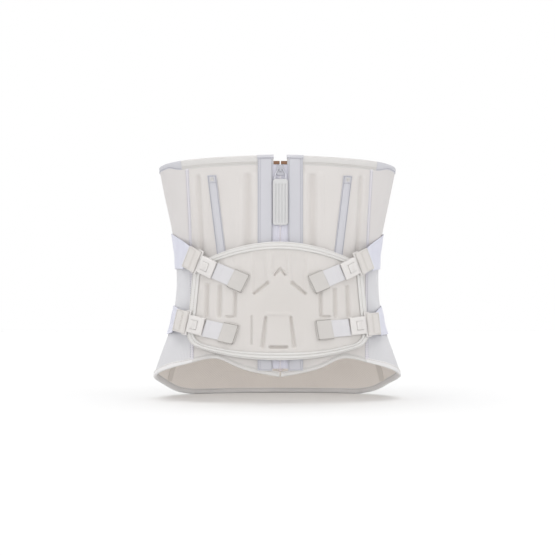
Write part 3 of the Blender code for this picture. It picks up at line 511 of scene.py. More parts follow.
IVORY, PAD_IVORY = (0.668, 0.640, 0.622), (0.662, 0.634, 0.612)
LILAC, TAPE_LILAC = (0.585, 0.583, 0.618), (0.680, 0.672, 0.745)
FINISHES = {
    "moulded_cloth": cloth("moulded_cloth", IVORY, knit(0.0009, 0.0007), 0.00009, sheen=0.2, valley=0.93),
    "side_mesh": cloth("side_mesh", (0.645, 0.620, 0.612), spacer_mesh(0.0030), 0.00022, valley=0.80),
    "side_knit": cloth("side_knit", (0.690, 0.687, 0.708), ribs(0.0021, 0.0008, along_cloth=True), 0.00030,
                       valley=0.84),
    "lining": cloth("lining", (0.900, 0.850, 0.805), spacer_mesh(0.0034), 0.00025, valley=0.84),
    "lining_tape": cloth("lining_tape", (0.790, 0.745, 0.700), ribs(0.0010, 0.0006), 0.00012),
    "grosgrain": cloth("grosgrain", LILAC, ribs(0.0011, 0.0005), 0.00016, roughness=0.7, valley=0.86),
    "seam_tape": cloth("seam_tape", (0.705, 0.683, 0.718), ribs(0.0011, 0.0005), 0.00014, roughness=0.7),
    "zip_tape": cloth("zip_tape", TAPE_LILAC, ribs(0.0013, 0.0006, along_cloth=True), 0.00016,
                      roughness=0.75),
    "rim_cloth": cloth("rim_cloth", (0.675, 0.658, 0.645), plain_weave(0.0009), 0.00010, sheen=0.2),
    "hem_knit": cloth("hem_knit", (0.785, 0.772, 0.772), ribs(0.0016, 0.0007), 0.00018),
    "elastic": cloth("elastic", (0.670, 0.674, 0.765), ribs(0.0016, 0.0009, along_cloth=True), 0.00022,
                     roughness=0.7, sheen=0.25, valley=0.88),
    "white_webbing": cloth("white_webbing", (0.640, 0.630, 0.648), ribs(0.0014, 0.0007), 0.00012,
                           roughness=0.6, valley=0.93),
    "tab_webbing": cloth("tab_webbing", (0.720, 0.690, 0.665), herringbone(0.0013, 0.0042), 0.00020,
                         roughness=0.75, valley=0.80),
    "end_webbing": cloth("end_webbing", (0.635, 0.610, 0.587), herringbone(0.0013, 0.0045), 0.00020,
                         roughness=0.75, valley=0.80),
    "pad_face": cloth("pad_face", PAD_IVORY, knit(0.0009, 0.0007), 0.00008, sheen=0.15, valley=0.93),
    "pad_tape": cloth("pad_tape", (0.705, 0.692, 0.678), ribs(0.0012, 0.0006), 0.00014, roughness=0.6,
                      sheen=0.3),
    "plastic": moulded("plastic", (0.665, 0.643, 0.628), 0.36, coat=0.15),
    "rubber": moulded("rubber", (0.575, 0.573, 0.575), 0.52, grain=2600, depth=0.00005),
    "teeth": moulded("teeth", (0.720, 0.700, 0.770), 0.35, coat=0.2),
    "nickel": metal("nickel", (0.56, 0.56, 0.60), 0.26),
    "slider_nickel": metal("slider_nickel", (0.38, 0.38, 0.41), 0.34),
    "copper": metal("copper", (0.22, 0.125, 0.080), 0.38),
    "steel": metal("steel", (0.55, 0.56, 0.58), 0.33),
    "stop_mauve": moulded("stop_mauve", (0.51, 0.45, 0.45), 0.45),
    "light_thread": thread("light_thread", (0.78, 0.76, 0.74)),
    "lilac_thread": thread("lilac_thread", (0.30, 0.29, 0.36)),
    "beige_thread": thread("beige_thread", (0.52, 0.49, 0.45)),
    "dark_thread": thread("dark_thread", (0.12, 0.095, 0.075)),
}


# ---------------------------------------------------------------- mesh building

def added(name, data):
    """New object in the scene."""
    made = bpy.data.objects.new(name, data)
    bpy.context.scene.collection.objects.link(made)
    return made


def with_modifiers(made):
    """New mesh of an object as its modifiers leave it."""
    bpy.context.view_layer.update()
    return bpy.data.meshes.new_from_object(made.evaluated_get(bpy.context.evaluated_depsgraph_get()))


def quads(index):
    """Four-sided faces of a grid of point numbers."""
    return np.stack([index[:-1, :-1], index[:-1, 1:], index[1:, 1:], index[1:, :-1]], -1).reshape(-1, 4)


def signed_volume(points, faces):
    a, b, c, d = (points[faces[:, k]] for k in range(4))
    first = np.einsum("ij,ij->i", a, np.cross(b, c))
    second = np.einsum("ij,ij->i", a, np.cross(c, d))
    return (first + second).sum()


def mesh_with_flat(name, points, faces, flat):
    mesh = bpy.data.meshes.new(name)
    mesh.from_pydata(points.tolist(), [], faces)
    layer = mesh.attributes.new("flat", "FLOAT_VECTOR", "POINT")
    layer.data.foreach_set("vector", np.ascontiguousarray(flat, np.float32).ravel())
    return mesh


def mesh_of(name, points, faces, flat, sharp=SHARP_DEGREES):
    """Closed mesh of four-sided faces, turned outwards, with its flat coordinates."""
    points = np.asarray(points, float)
    middle = points.mean(axis=0)
    if signed_volume(points - middle, faces) < 0:
        faces = faces[:, ::-1]
    mesh = mesh_with_flat(name, points, faces.tolist(), flat)
    mesh.shade_smooth()
    mesh.set_sharp_from_angle(angle=math.radians(sharp))
    return mesh


def mark_painted_shade(mesh, shares):
    """Note how much painted shade each of the first points takes, from 0 to 1."""
    layer = mesh.attributes["flat"].data
    values = np.zeros(3 * len(layer), np.float32)
    layer.foreach_get("vector", values)
    values.reshape(-1, 3)[:shares.size, 2] = shares.ravel()
    layer.foreach_set("vector", values)


def run_lengths(points):
    """Distance from the first of a row of points to each of them."""
    return np.concatenate([[0], np.cumsum(np.linalg.norm(np.diff(points, axis=0), axis=1))])


def flat_of(front):
    """Metres across and along a grid of points, as it lies flat."""
    rows, columns = front.shape[:2]
    across = run_lengths(front[rows // 2])
    along = run_lengths(front[:, columns // 2])
    grid = np.zeros((rows, columns, 3))
    grid[..., 0], grid[..., 1] = across[None, :], along[:, None]
    return grid


def slab(name, front, back, lined=False):
    """Closed sheet between two grids of points. A lined one has a second material on its back."""
    rows, columns = front.shape[:2]
    count = rows * columns
    index = np.arange(count).reshape(rows, columns)
    edge = np.concatenate([index[0, :], index[1:, -1], index[-1, -2::-1], index[-2:0:-1, 0]])
    after = np.roll(edge, -1)
    walls = np.stack([edge, edge + count, after + count, after], -1)
    faces = np.concatenate([quads(index), quads(index + count)[:, ::-1], walls])
    points = np.concatenate([front.reshape(-1, 3), back.reshape(-1, 3)])
    flat = flat_of(front).reshape(-1, 3)
    mesh = mesh_of(name, points, faces, np.concatenate([flat, flat]))
    if lined:
        inside = np.zeros(len(faces), np.int32)
        inside[(rows - 1) * (columns - 1):2 * (rows - 1) * (columns - 1)] = 1
        mesh.polygons.foreach_set("material_index", inside)
    return mesh


def loft(name, rings, closed=False):
    """Tube through rings of points. Ends are capped unless the tube closes on itself."""
    stations, around = rings.shape[:2]
    index = np.arange(stations * around).reshape(stations, around)
    index = np.concatenate([index, index[:, :1]], axis=1)
    if closed:
        index = np.concatenate([index, index[:1]], axis=0)
    points = rings.reshape(-1, 3)
    girth = run_lengths(rings[stations // 2])
    length = run_lengths(rings[:, 0])
    flat = np.zeros((stations, around, 3))
    flat[..., 0], flat[..., 1] = girth[None, :], length[:, None]
    flat = flat.reshape(-1, 3)
    faces = quads(index)
    if not closed:
        caps, middles = [], []
        for end, row in enumerate((0, stations - 1)):
            centre = len(points) + end
            middles.append(rings[row].mean(axis=0))
            for k in range(0, around, 2):
                pair = [row * around + (k + j) % around for j in range(3)]
                order = [centre, *pair] if end == 0 else [centre, *pair[::-1]]
                caps.append(order)
        points = np.concatenate([points, middles])
        flat = np.concatenate([flat, np.zeros((2, 3))])
        faces = np.concatenate([faces, np.array(caps)[:, ::-1]])
    return mesh_of(name, points, faces, flat)


def stations(length, radius, step):
    """Places from 0 to length, closer together over a rounded edge."""
    turned = radius * (1 - np.cos(np.radians(np.arange(0, 91, 22.5))))
    inner = np.linspace(radius, length - radius, max(2, math.ceil((length - 2 * radius) / step) + 1))
    return np.concatenate([turned[:-1], inner, (length - turned[::-1])[1:]])


def roundness(across, along, radius):
    """Share of the thickness left at each place of a patch with rounded edges, 1 away from them."""
    nearest = [np.minimum(places, places[-1] - places) for places in (across, along)]
    first = np.clip(1 - nearest[0] / radius, 0, 1)[None, :]
    second = np.clip(1 - nearest[1] / radius, 0, 1)[:, None]
    t = np.minimum(np.hypot(first, second), 1)
    return 0.12 + 0.88 * np.sqrt(1 - t * t)


def corners_rounded(x, z, half, corner):
    """Places of a rectangular grid about 0 drawn in so that its corners become arcs of the given radii."""
    into = [np.clip(np.abs(place) - (side - radius), 0, None) / radius
            for place, side, radius in zip((x, z), half, corner)]
    reach = np.maximum(np.hypot(*into), 1e-9)
    squeeze = np.where((into[0] > 0) & (into[1] > 0), np.maximum(*into) / reach, 1.0)
    return tuple(place - np.sign(place) * depth * radius * (1 - squeeze)
                 for place, depth, radius in zip((x, z), into, corner))


def piece(name, mesh, body, finishes, stands_for=(), matrix=None):
    """Object with its finishes, riding on a body, or on none where body is None."""
    if mesh.materials:
        mesh.materials.clear()
    for finish in [finishes] if isinstance(finishes, str) else finishes:
        mesh.materials.append(FINISHES[finish])
    made = added(name, mesh)
    if matrix is not None:
        made.matrix_world = matrix
    bpy.context.view_layer.update()
    if body:
        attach(made, body)
    if stands_for:
        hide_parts(*stands_for)
    return made


def at_places(points, lengths, places):
    """Points at distances along a row of points."""
    return np.stack([np.interp(places, lengths, points[:, k]) for k in range(3)], -1)


STITCH_AROUND = 5
STITCH_SHAPE = ((-0.5, -0.9, 0.5), (-0.28, 0.25, 1.0), (0.28, 0.25, 1.0), (0.5, -0.9, 0.5))


def stitch_mesh(name, rows, pitch=0.0031, length=0.0024, radius=0.00030):
    """Short raised threads along rows, each given as (points, normals)."""
    turn = 2 * np.pi * np.arange(STITCH_AROUND) / STITCH_AROUND
    all_points, all_flat = [], []
    for points, normals in rows:
        lengths = run_lengths(points)
        count = max(1, round(lengths[-1] / pitch))
        long = min(length, lengths[-1])
        middles = (np.arange(count) + 0.5) * lengths[-1] / count
        ahead, behind = (at_places(points, lengths, middles + step) for step in (long / 4, -long / 4))
        direction = unit(ahead - behind)
        up = unit(at_places(normals, lengths, middles))
        side = unit(np.cross(direction, up))
        for along, lift, size in STITCH_SHAPE:
            centre = at_places(points, lengths, middles + along * long) + up * (lift * radius)
            cosine, sine = np.cos(turn)[None, :, None], np.sin(turn)[None, :, None]
            ring = side[:, None, :] * cosine + up[:, None, :] * sine
            all_points.append(centre[:, None, :] + ring * (size * radius))
            flat = np.zeros((count, STITCH_AROUND, 3))
            flat[..., 0] = radius * turn[None, :]
            flat[..., 1] = (middles + along * long)[:, None]
            all_flat.append(flat)
    return stitches_joined(name, rows, all_points, all_flat)


def stitches_joined(name, rows, all_points, all_flat):
    """One mesh from the rings of every stitch: four rings to a stitch, each end closed by two faces."""
    levels = len(STITCH_SHAPE)
    points, flats, faces, base = [], [], [], 0
    for k in range(len(rows)):
        rings = np.stack(all_points[k * levels:(k + 1) * levels], 1)
        count = rings.shape[0]
        points.append(rings.reshape(-1, 3))
        flats.append(np.stack(all_flat[k * levels:(k + 1) * levels], 1).reshape(-1, 3))
        index = np.arange(count * levels * STITCH_AROUND).reshape(count, levels, STITCH_AROUND) + base
        after = np.roll(index, -1, axis=2)
        walls = np.stack([index[:, :-1], after[:, :-1], after[:, 1:], index[:, 1:]], -1)
        faces.extend(walls.reshape(-1, 4).tolist())
        faces.extend(index[:, 0, ::-1].tolist())
        faces.extend(index[:, -1].tolist())
        base += count * levels * STITCH_AROUND
    mesh = mesh_with_flat(name, np.concatenate(points), faces, np.concatenate(flats))
    mesh.shade_smooth()
    turned_out(mesh)
    return mesh


def stitching(name, rows, finish, body="brace", **sizes):
    return piece(name, stitch_mesh(name, rows, **sizes), body, finish)


def closed_row(points, normals):
    return np.concatenate([points, points[:1]]), np.concatenate([normals, normals[:1]])


def turned_out(mesh):
    shape = bmesh.new()
    shape.from_mesh(mesh)
    bmesh.ops.recalc_face_normals(shape, faces=shape.faces)
    shape.to_mesh(mesh)
    shape.free()


def trunk_row(angle, z, out):
    """A row of stitches on the trunk."""
    angle, z, out = np.broadcast_arrays(np.asarray(angle, float), z, out)
    return over(angle, z, out), outward(angle, z)


# ---------------------------------------------------------------- body panels

def panel_grid(low, high, bottom, top, columns, rows):
    """Angles and heights of a grid that fills the space between four curved edges."""
    u = np.linspace(0, 1, columns)[None, :]
    v = np.linspace(0, 1, rows)[:, None]
    z = np.full((rows, columns), MID_HEIGHT)
    for _ in range(SEARCH_STEPS):
        angle = blend(low(z), high(z), u)
        z = blend(bottom(angle), top(angle), v)
    return angle, z


def groove(distance, half_width):
    """Profile of a soft groove: 1 in its middle, 0 past its sides."""
    return np.clip(1 - (distance / half_width) ** 2, 0, 1) ** 2


def ripple(angle, z, size=0.00035):
    """Slow unevenness of sewn cloth."""
    first = np.sin(np.radians(angle) * 9 + z * 31) * np.sin(z * 47 + 1.3)
    second = np.sin(np.radians(angle) * 21 - z * 60 + 0.7)
    return size * (0.65 * first + 0.35 * second)


Channel = namedtuple("Channel", "half_width depth lip_step lip_half_width lip_height")
ZIP_CHANNEL = Channel(0.0072, 0.0026, 0.0108, 0.0062, 0.0009)
SEAM_CHANNEL = Channel(0.0046, 0.0022, 0.0068, 0.0050, 0.0008)
FRONT_CHANNEL_X = 0.0430
FRONT_CHANNEL_TOP = 0.3085
SIDE_CHANNEL_FROM_SEAM = 0.0145
CHANNEL_FOOT = (0.072, 0.090)
# Depth at which a channel's painted shade is full; then the painted shade on the side knit and the heights
# over which it fades.
CHANNEL_FULLY_DARK = 0.0105
KNIT_SHADE = 0.16
KNIT_SHADE_HEIGHTS = (0.030, 0.110)


def channel_lips(distance, channel):
    """Height of the two lips at a distance from the middle of a channel."""
    steps = (-channel.lip_step, channel.lip_step)
    return sum(groove(distance + step, channel.lip_half_width) for step in steps) * channel.lip_height


def front_relief(x, z):
    """Moulded channels of a front panel: one beside the zip and one beside the seam, with soft lips."""
    x = np.abs(x)
    seam = curve(FRONT_SEAM_X_BY_HEIGHT, z)
    top_fade = 1 - smooth_step(FRONT_CHANNEL_TOP - 0.006, FRONT_CHANNEL_TOP, z)
    from_inner, from_outer = x - FRONT_CHANNEL_X, x - seam + SIDE_CHANNEL_FROM_SEAM
    inner = groove(from_inner, ZIP_CHANNEL.half_width) * ZIP_CHANNEL.depth
    outer = groove(from_outer, SEAM_CHANNEL.half_width) * SEAM_CHANNEL.depth
    lips = channel_lips(from_inner, ZIP_CHANNEL) + channel_lips(from_outer, SEAM_CHANNEL)
    return (lips - outer - inner) * top_fade * smooth_step(*CHANNEL_FOOT, z)


def tape_mesh(name, angle, z, height, half, raised=0):
    """Sheet over the trunk whose faces lie half above and half below a height, its front perhaps raised."""
    return slab(name, over(angle, z, height + half + raised), over(angle, z, height - half))


def body_panel(name, low, high, bottom, top, size, relief, finish, node):
    angle, z = panel_grid(low, high, bottom, top, *size)
    front = relief(angle, z)
    back = np.full_like(z, -FABRIC_THICKNESS)
    outer, inner = over(angle, z, front), over(angle, z, back)
    mesh = slab(name, outer, inner, lined=True)
    # Painted shade: the cloth is painted darker by the depth of its channels, and the side knit darker
    # towards its hem.
    shade = np.clip(-front / CHANNEL_FULLY_DARK, 0, 1)
    if finish == "side_knit":
        shade = KNIT_SHADE * (1 - smooth_step(*KNIT_SHADE_HEIGHTS, z))
    mark_painted_shade(mesh, shade)
    made = piece(name, mesh, "brace", [finish, "lining"], [node])
    return made


def body_panels():
    def bottom(angle):
        return hem_height(angle) + TUCK

    def top(angle):
        return top_height(angle) - TUCK

    def split(angle):
        return curve(SIDE_SPLIT_BY_ANGLE, from_front(angle))

    for side, sign in SIDES:
        def cloth_relief(angle, z):
            return front_relief(trunk(angle, z)[..., 0], z) + ripple(angle, z)

        body_panel(side + "_front_cloth", lambda z: sign * angle_at_x(PANEL_FRONT_EDGE_X, z),
                   lambda z: sign * front_seam_angle(z), bottom, top, (120, 170), cloth_relief,
                   "moulded_cloth", side + "_front_panel")
        body_panel(side + "_upper_side_cloth", lambda z: sign * front_seam_angle(z),
                   lambda z: sign * REAR_SEAM_ANGLE, split, top, (70, 40), ripple,
                   "side_mesh", side + "_upper_side_panel")
        body_panel(side + "_lower_side_cloth", lambda z: sign * front_seam_angle(z),
                   lambda z: sign * REAR_SEAM_ANGLE, bottom, split, (70, 60), ripple,
                   "side_knit", side + "_lower_side_panel")
    body_panel("back_cloth", lambda z: REAR_SEAM_ANGLE, lambda z: 360 - REAR_SEAM_ANGLE, bottom, top,
               (110, 90), ripple, "moulded_cloth", "back_panel")


# ---------------------------------------------------------------- seams, rims and hems

def seam_tape(name, angle_at, low, high, half_width, heights, finish, nodes=(), slot="lilac_tape", bulge=0.0):
    """Flat tape that runs up the trunk, with rounded edges and perhaps a raised middle."""
    across = stations(2 * half_width, TAPE_EDGE, 0.0011)
    along = stations(high - low, TAPE_EDGE, 0.004)
    z = np.broadcast_to((low + along)[:, None], (len(along), len(across)))
    middle = angle_at(z)
    angle = middle + degrees_for(1.0, middle, z) * (across - half_width)[None, :]
    round_off = roundness(across, along, TAPE_EDGE)
    centre, half = sum(heights) / 2, abs(heights[1] - heights[0]) / 2
    raised = bulge * groove((across - half_width)[None, :], half_width * 0.86)
    mesh = tape_mesh(name, angle, z, centre, half * round_off, raised)
    return piece(name, mesh, "brace", finish, nodes)


# Seam tapes: half width, heights of their faces, then how far the stitches are from the tape's middle and
# from the trunk.
FRONT_TAPE = (0.0026, (-0.0004, 0.0007), 0.0018, 0.00075)
REAR_TAPE = (0.0040, (-0.0002, 0.0008), 0.0030, 0.00085)
REAR_TAPE_Z = (0.022, 0.322)
REAR_STITCH_Z = (0.026, 0.318)
INNER_TAPE = (0.0055, (-0.0050, -0.0038))
INNER_TAPE_BOTTOMS = {"front": 0.0625, "rear": 0.021}
INNER_TAPE_TOP = 0.319


def seam_tapes():
    rows = []
    for side, sign in SIDES:
        foot = hem_height(front_seam_angle(HEM_SEAM_HEIGHT)) + 0.004
        head = top_height(TOP_HEM_END_ANGLE) - FRONT_TOP_HEM_HEIGHT + 0.001
        half_width, heights, stitch_offset, stitch_out = FRONT_TAPE
        seam_tape(side + "_front_seam_tape", lambda z: sign * front_seam_angle(z), foot, head, half_width,
                  heights, "seam_tape")
        z = np.linspace(foot + 0.002, head - 0.002, 90)
        for offset in (-stitch_offset, stitch_offset):
            middle = sign * front_seam_angle(z)
            rows.append(trunk_row(middle + degrees_for(offset, middle, z), z, stitch_out))
        half_width, heights, stitch_offset, stitch_out = REAR_TAPE
        seam_tape(side + "_rear_seam_tape", lambda z: sign * REAR_SEAM_ANGLE + 0 * z, *REAR_TAPE_Z,
                  half_width, heights, "grosgrain")
        z = np.linspace(*REAR_STITCH_Z, 90)
        for offset in (-stitch_offset, stitch_offset):
            angle = sign * (REAR_SEAM_ANGLE + degrees_for(offset, REAR_SEAM_ANGLE, z))
            rows.append(trunk_row(angle, z, stitch_out))
        for place, angle_at in (("front", front_seam_angle), ("rear", lambda z: REAR_SEAM_ANGLE + 0 * z)):
            seam_tape(f"{side}_{place}_inner_seam_tape", lambda z: sign * angle_at(z),
                      INNER_TAPE_BOTTOMS[place], INNER_TAPE_TOP, *INNER_TAPE, "lining_tape",
                      slot="ivory_fabric")
    stitching("seam_tape_stitching", rows, "lilac_thread")


RIM_FACES = (RIM_PROUD, -FABRIC_THICKNESS - RIM_PROUD)


def rim(name, angles, fold, height, upward, finish, nodes, faces=RIM_FACES):
    """Folded edge piece. fold(angle) is the height of its fold, and it reaches height(angle) from there."""
    half, middle, lip = (faces[0] - faces[1]) / 2, sum(faces) / 2, 0.0005
    turn = np.radians(np.linspace(0, 180, 11))
    out = np.concatenate([[middle + half - lip, middle + half], middle + half * np.cos(turn),
                          [middle - half, middle - half + lip]])
    reach = height(angles)[:, None]
    curved = np.broadcast_to(half * (1 - np.sin(turn)), (len(angles), len(turn)))
    away = np.concatenate([reach, reach - lip, curved, reach - lip, reach], axis=1)
    z = fold(angles)[:, None] + (away if upward else -away)
    angle = np.broadcast_to(angles[:, None], z.shape)
    out = np.broadcast_to(out, z.shape) + ripple(angle, z, 0.00015)
    rings = over(angle, z, out)
    return piece(name, loft(name, rings), "brace", finish, nodes)


def rims():
    top_end = TOP_HEM_END_ANGLE
    hem_end = float(front_seam_angle(HEM_SEAM_HEIGHT))
    start = float(angle_at_x(NOTCH_X + 0.0004, ZIP_TOP))
    cap_ends = [float(angle_at_x(x, ZIP_TOP)) for x in (NOTCH_X, BAND_X[1] + 0.0003)]
    cap_angles = np.linspace(*cap_ends, 14)
    hem_start = float(angle_at_x(0.001, HEM_SEAM_HEIGHT))
    ivory_rows, lilac_rows = [], []
    for side, sign in SIDES:
        angles = sign * np.linspace(start, top_end, 46)
        rim(side + "_top_hem", angles, top_height, top_rim_height, False, "rim_cloth",
            [side + "_front_top_hem"])
        rim(side + "_placket_cap", sign * cap_angles, lambda angle: top_height(angle) + 0.0005,
            lambda angle: PLACKET_CAP_HEIGHT + 0 * angle, False, "grosgrain", (),
            (BAND_HEIGHTS[1] + 0.0003, -FABRIC_THICKNESS - RIM_PROUD - 0.0003))
        lilac_rows.append(trunk_row(sign * cap_angles, top_height(cap_angles) - PLACKET_CAP_HEIGHT + 0.0017,
                                    BAND_HEIGHTS[1] + 0.00035))
        for inset in (0.0020, 0.0038):
            line = sign * np.linspace(start + 0.5, top_end - 0.3, 120)
            z = top_height(line) - top_rim_height(line) + inset
            ivory_rows.append(trunk_row(line, z, RIM_STITCH_OUT))
        angles = sign * np.linspace(hem_start, hem_end, 60)
        rim(side + "_bottom_hem", angles, hem_height, hem_rim_height, True, "rim_cloth",
            [side + "_front_hem"])
        line = sign * np.linspace(hem_start + 0.4, hem_end - 0.3, 140)
        ivory_rows.append(trunk_row(line, hem_height(line) + hem_rim_height(line) - 0.0018, RIM_STITCH_OUT))
    angles = np.linspace(top_end + 0.25, 359.75 - top_end, 150)
    rim("top_edge_binding", angles, top_height, top_rim_height, False, "grosgrain", ["top_binding"])
    line = np.linspace(top_end + 0.6, 359.4 - top_end, 400)
    lilac_rows.append(trunk_row(line, top_height(line) - top_rim_height(line) + 0.0016, RIM_STITCH_OUT))
    angles = np.linspace(hem_end + 0.25, 359.75 - hem_end, 160)
    rim("rear_edge_hem", angles, hem_height, hem_rim_height, True, "hem_knit", ["rear_hem"])
    line = np.linspace(hem_end + 0.5, 359.5 - hem_end, 400)
    hem_line = hem_height(line) + hem_rim_height(line) - 0.0017
    ivory_rows.append(trunk_row(line, hem_line, RIM_STITCH_OUT))
    inner = trunk_row(line, hem_line, -FABRIC_THICKNESS - RIM_PROUD - 0.00005)
    ivory_rows.append((inner[0], -inner[1]))
    stitching("hem_stitching", ivory_rows, "beige_thread")
    stitching("top_binding_stitching", lilac_rows, "lilac_thread")


# ---------------------------------------------------------------- zip

def front_strip(name, x_range, z_range, heights, finish, nodes, bead=None):
    """Tape beside the zip's centre line. bead is (place, half width, height) of a raised cord in it."""
    width, tall = x_range[1] - x_range[0], z_range[1] - z_range[0]
    sign = 1 if width > 0 else -1
    across = stations(abs(width), BAND_EDGE, 0.0010)
    along = stations(tall, 0.0005, 0.006)
    z = np.broadcast_to((z_range[0] + along)[:, None], (len(along), len(across)))
    x = x_range[0] + sign * across[None, :] + 0 * z
    angle = angle_at_x(x, z)
    centre, half = sum(heights) / 2, abs(heights[1] - heights[0]) / 2
    round_off = roundness(across, along, BAND_EDGE)
    raised = bead[2] * groove(np.abs(x) - bead[0], bead[1]) if bead else 0
    mesh = tape_mesh(name, angle, z, centre, half * round_off, raised)
    return piece(name, mesh, "brace", finish, nodes)


TOOTH_PITCH = 0.0026
TOOTH_HALF_HEIGHT = 0.00068
TOOTH_HEAD_X = -0.0003
TOOTH_ROOT_X = 0.0027


def tooth_row(name, sign, shift, node):
    """Moulded teeth of one zip half: a waisted root and a round head that reaches over the centre line."""
    outline = ((TOOTH_ROOT_X, 0.80), (0.0019, 0.78), (0.0013, 0.55), (0.0008, 0.62), (0.0003, 0.98),
               (0.0000, 0.95), (TOOTH_HEAD_X, 0.55))
    outs = (-0.0018, -0.0015, 0.0001, 0.0004)
    swell = (0.7, 1.0, 1.0, 0.7)
    points, faces = [], []
    count = int((ZIP_TOP - ZIP_BOTTOM - 2 * TOOTH_HALF_HEIGHT - shift) / TOOTH_PITCH) + 1
    loop = [(x, h) for x, h in outline] + [(x, -h) for x, h in reversed(outline)]
    for k in range(count):
        z = ZIP_BOTTOM + TOOTH_HALF_HEIGHT + shift + k * TOOTH_PITCH
        base = len(points)
        for out, size in zip(outs, swell):
            for x, h in loop:
                points.append((sign * x, -FRONT_DEPTH - out, z + h * TOOTH_HALF_HEIGHT * size))
        n = len(loop)
        for level in range(len(outs) - 1):
            for j in range(n):
                a, b = base + level * n + j, base + level * n + (j + 1) % n
                faces.append((a, b, b + n, a + n))
        faces.append(tuple(base + j for j in reversed(range(n))))
        faces.append(tuple(base + (len(outs) - 1) * n + j for j in range(n)))
    mesh = bpy.data.meshes.new(name)
    mesh.from_pydata(points, [], faces)
    turned_out(mesh)
    mesh.shade_smooth()
    mesh.set_sharp_from_angle(angle=math.radians(SHARP_DEGREES))
    piece(name, mesh, "brace", "teeth", [node])


def zip_parts():
    rows = []
    for side, sign in SIDES:
        front_strip(side + "_zip_placket", (sign * BAND_X[0], sign * BAND_X[1]), (BAND_BOTTOM, BAND_TOP),
                    BAND_HEIGHTS, "grosgrain", [side + "_zip_band"])
        front_strip(side + "_zip_cloth_tape", (sign * TAPE_X[0], sign * TAPE_X[1]), (ZIP_BOTTOM, ZIP_TOP),
                    TAPE_HEIGHTS, "zip_tape", [side + "_zip_tape"], TAPE_BEAD)
        tooth_row(side + "_zip_tooth_row", sign, 0 if sign < 0 else TOOTH_PITCH / 2, side + "_zip_teeth")
        z = np.linspace(BAND_BOTTOM + 0.0015, BAND_TOP - 0.0015, 100)
        for x in (BAND_X[0] + 0.0013, BAND_X[1] - 0.0012, BAND_X[1] - 0.0034):
            rows.append(trunk_row(angle_at_x(sign * x, z), z, BAND_HEIGHTS[1] + 0.00002))
        x = np.linspace(BAND_X[0] + 0.0015, BAND_X[1] - 0.0014, 20)
        for z_end in (BAND_TOP - 0.0016, BAND_BOTTOM + 0.0016):
            rows.append(trunk_row(angle_at_x(sign * x, z_end), z_end + 0 * x, BAND_HEIGHTS[1] + 0.00002))
    stitching("zip_stitching", rows, "lilac_thread", pitch=0.0026, length=0.0022, radius=0.00026)


def box_mesh(name, low, high, radius=0.0, segments=3):
    """Box with all its edges rounded, for use as a start or as a cutter."""
    shape = bmesh.new()
    bmesh.ops.create_cube(shape, size=1.0)
    size = Vector(high) - Vector(low)
    bmesh.ops.scale(shape, vec=size, verts=shape.verts)
    bmesh.ops.translate(shape, vec=(Vector(high) + Vector(low)) / 2, verts=shape.verts)
    if radius:
        bmesh.ops.bevel(shape, geom=shape.edges[:], offset=radius, segments=segments, profile=0.5,
                        affect="EDGES")
    mesh = bpy.data.meshes.new(name)
    shape.to_mesh(mesh)
    shape.free()
    return mesh


def combined(name, base, joined=(), cut=(), bevel=0.0):
    """Base mesh with others joined to it, then others cut from it, and its sharp edges rounded."""
    body = added(name, base)
    tools = []
    for operation, meshes in (("UNION", joined), ("DIFFERENCE", cut)):
        for mesh in meshes:
            tool = added(name + "_tool", mesh)
            tools.append(tool)
            boolean = body.modifiers.new("boolean", "BOOLEAN")
            boolean.operation, boolean.solver, boolean.object = operation, "EXACT", tool
    if bevel:
        edge = body.modifiers.new("edges", "BEVEL")
        edge.limit_method, edge.angle_limit = "ANGLE", math.radians(SHARP_DEGREES)
        edge.width, edge.segments = bevel, 2
    result = with_modifiers(body)
    for spent in [body, *tools]:
        bpy.data.objects.remove(spent, do_unlink=True)
    result.name = name
    result.shade_smooth()
    result.set_sharp_from_angle(angle=math.radians(MOULDING_SHARP_DEGREES))
    return result


STOP_TAIL = 0.0030
STOP_PROUD = 0.0002
STOP_EDGE = 0.0006
SLIT_SHARES = (0.34, 0.66)
SLIT_DEPTH = 0.0002


def zip_ends():
    for side, sign in SIDES:
        low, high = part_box(side + "_zip_top_stop")
        low, high = low - Vector((0, STOP_PROUD, 0.0009)), high + Vector((0, STOP_PROUD, 0.0004))
        if sign > 0:
            high.x += STOP_TAIL
        else:
            low.x -= STOP_TAIL
        crimp = box_mesh("crimp", low, high, STOP_EDGE, 4)
        cuts = []
        for share in SLIT_SHARES:
            z = blend(low.z, high.z, share)
            start = (low.x - 0.01, low.y - 0.002, z - SLIT_DEPTH)
            cuts.append(box_mesh("slit", start, (high.x + 0.01, low.y + SLIT_DEPTH, z + SLIT_DEPTH)))
        name = side + "_top_stop_crimp"
        piece(name, combined(name, crimp, cut=cuts), "brace", "copper", [side + "_zip_top_stop"])
    low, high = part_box("zip_bottom_stop")
    block = combined("bottom_stop_block", box_mesh("block", low, high, STOP_EDGE, 4))
    piece("bottom_stop_block", block, "brace", "stop_mauve", ["zip_bottom_stop"])


# Half of the wire bail between the slider and the tab: x, z and wire radius.
BAIL = (
    (0.0000, 0.3120, 0.0006), (0.0018, 0.3118, 0.0006), (0.0038, 0.3100, 0.0008), (0.0058, 0.3068, 0.0010),
    (0.0070, 0.3028, 0.0010), (0.0073, 0.2990, 0.0010), (0.0066, 0.2962, 0.0008), (0.0038, 0.2950, 0.0006),
    (0.0000, 0.2948, 0.0006),
)


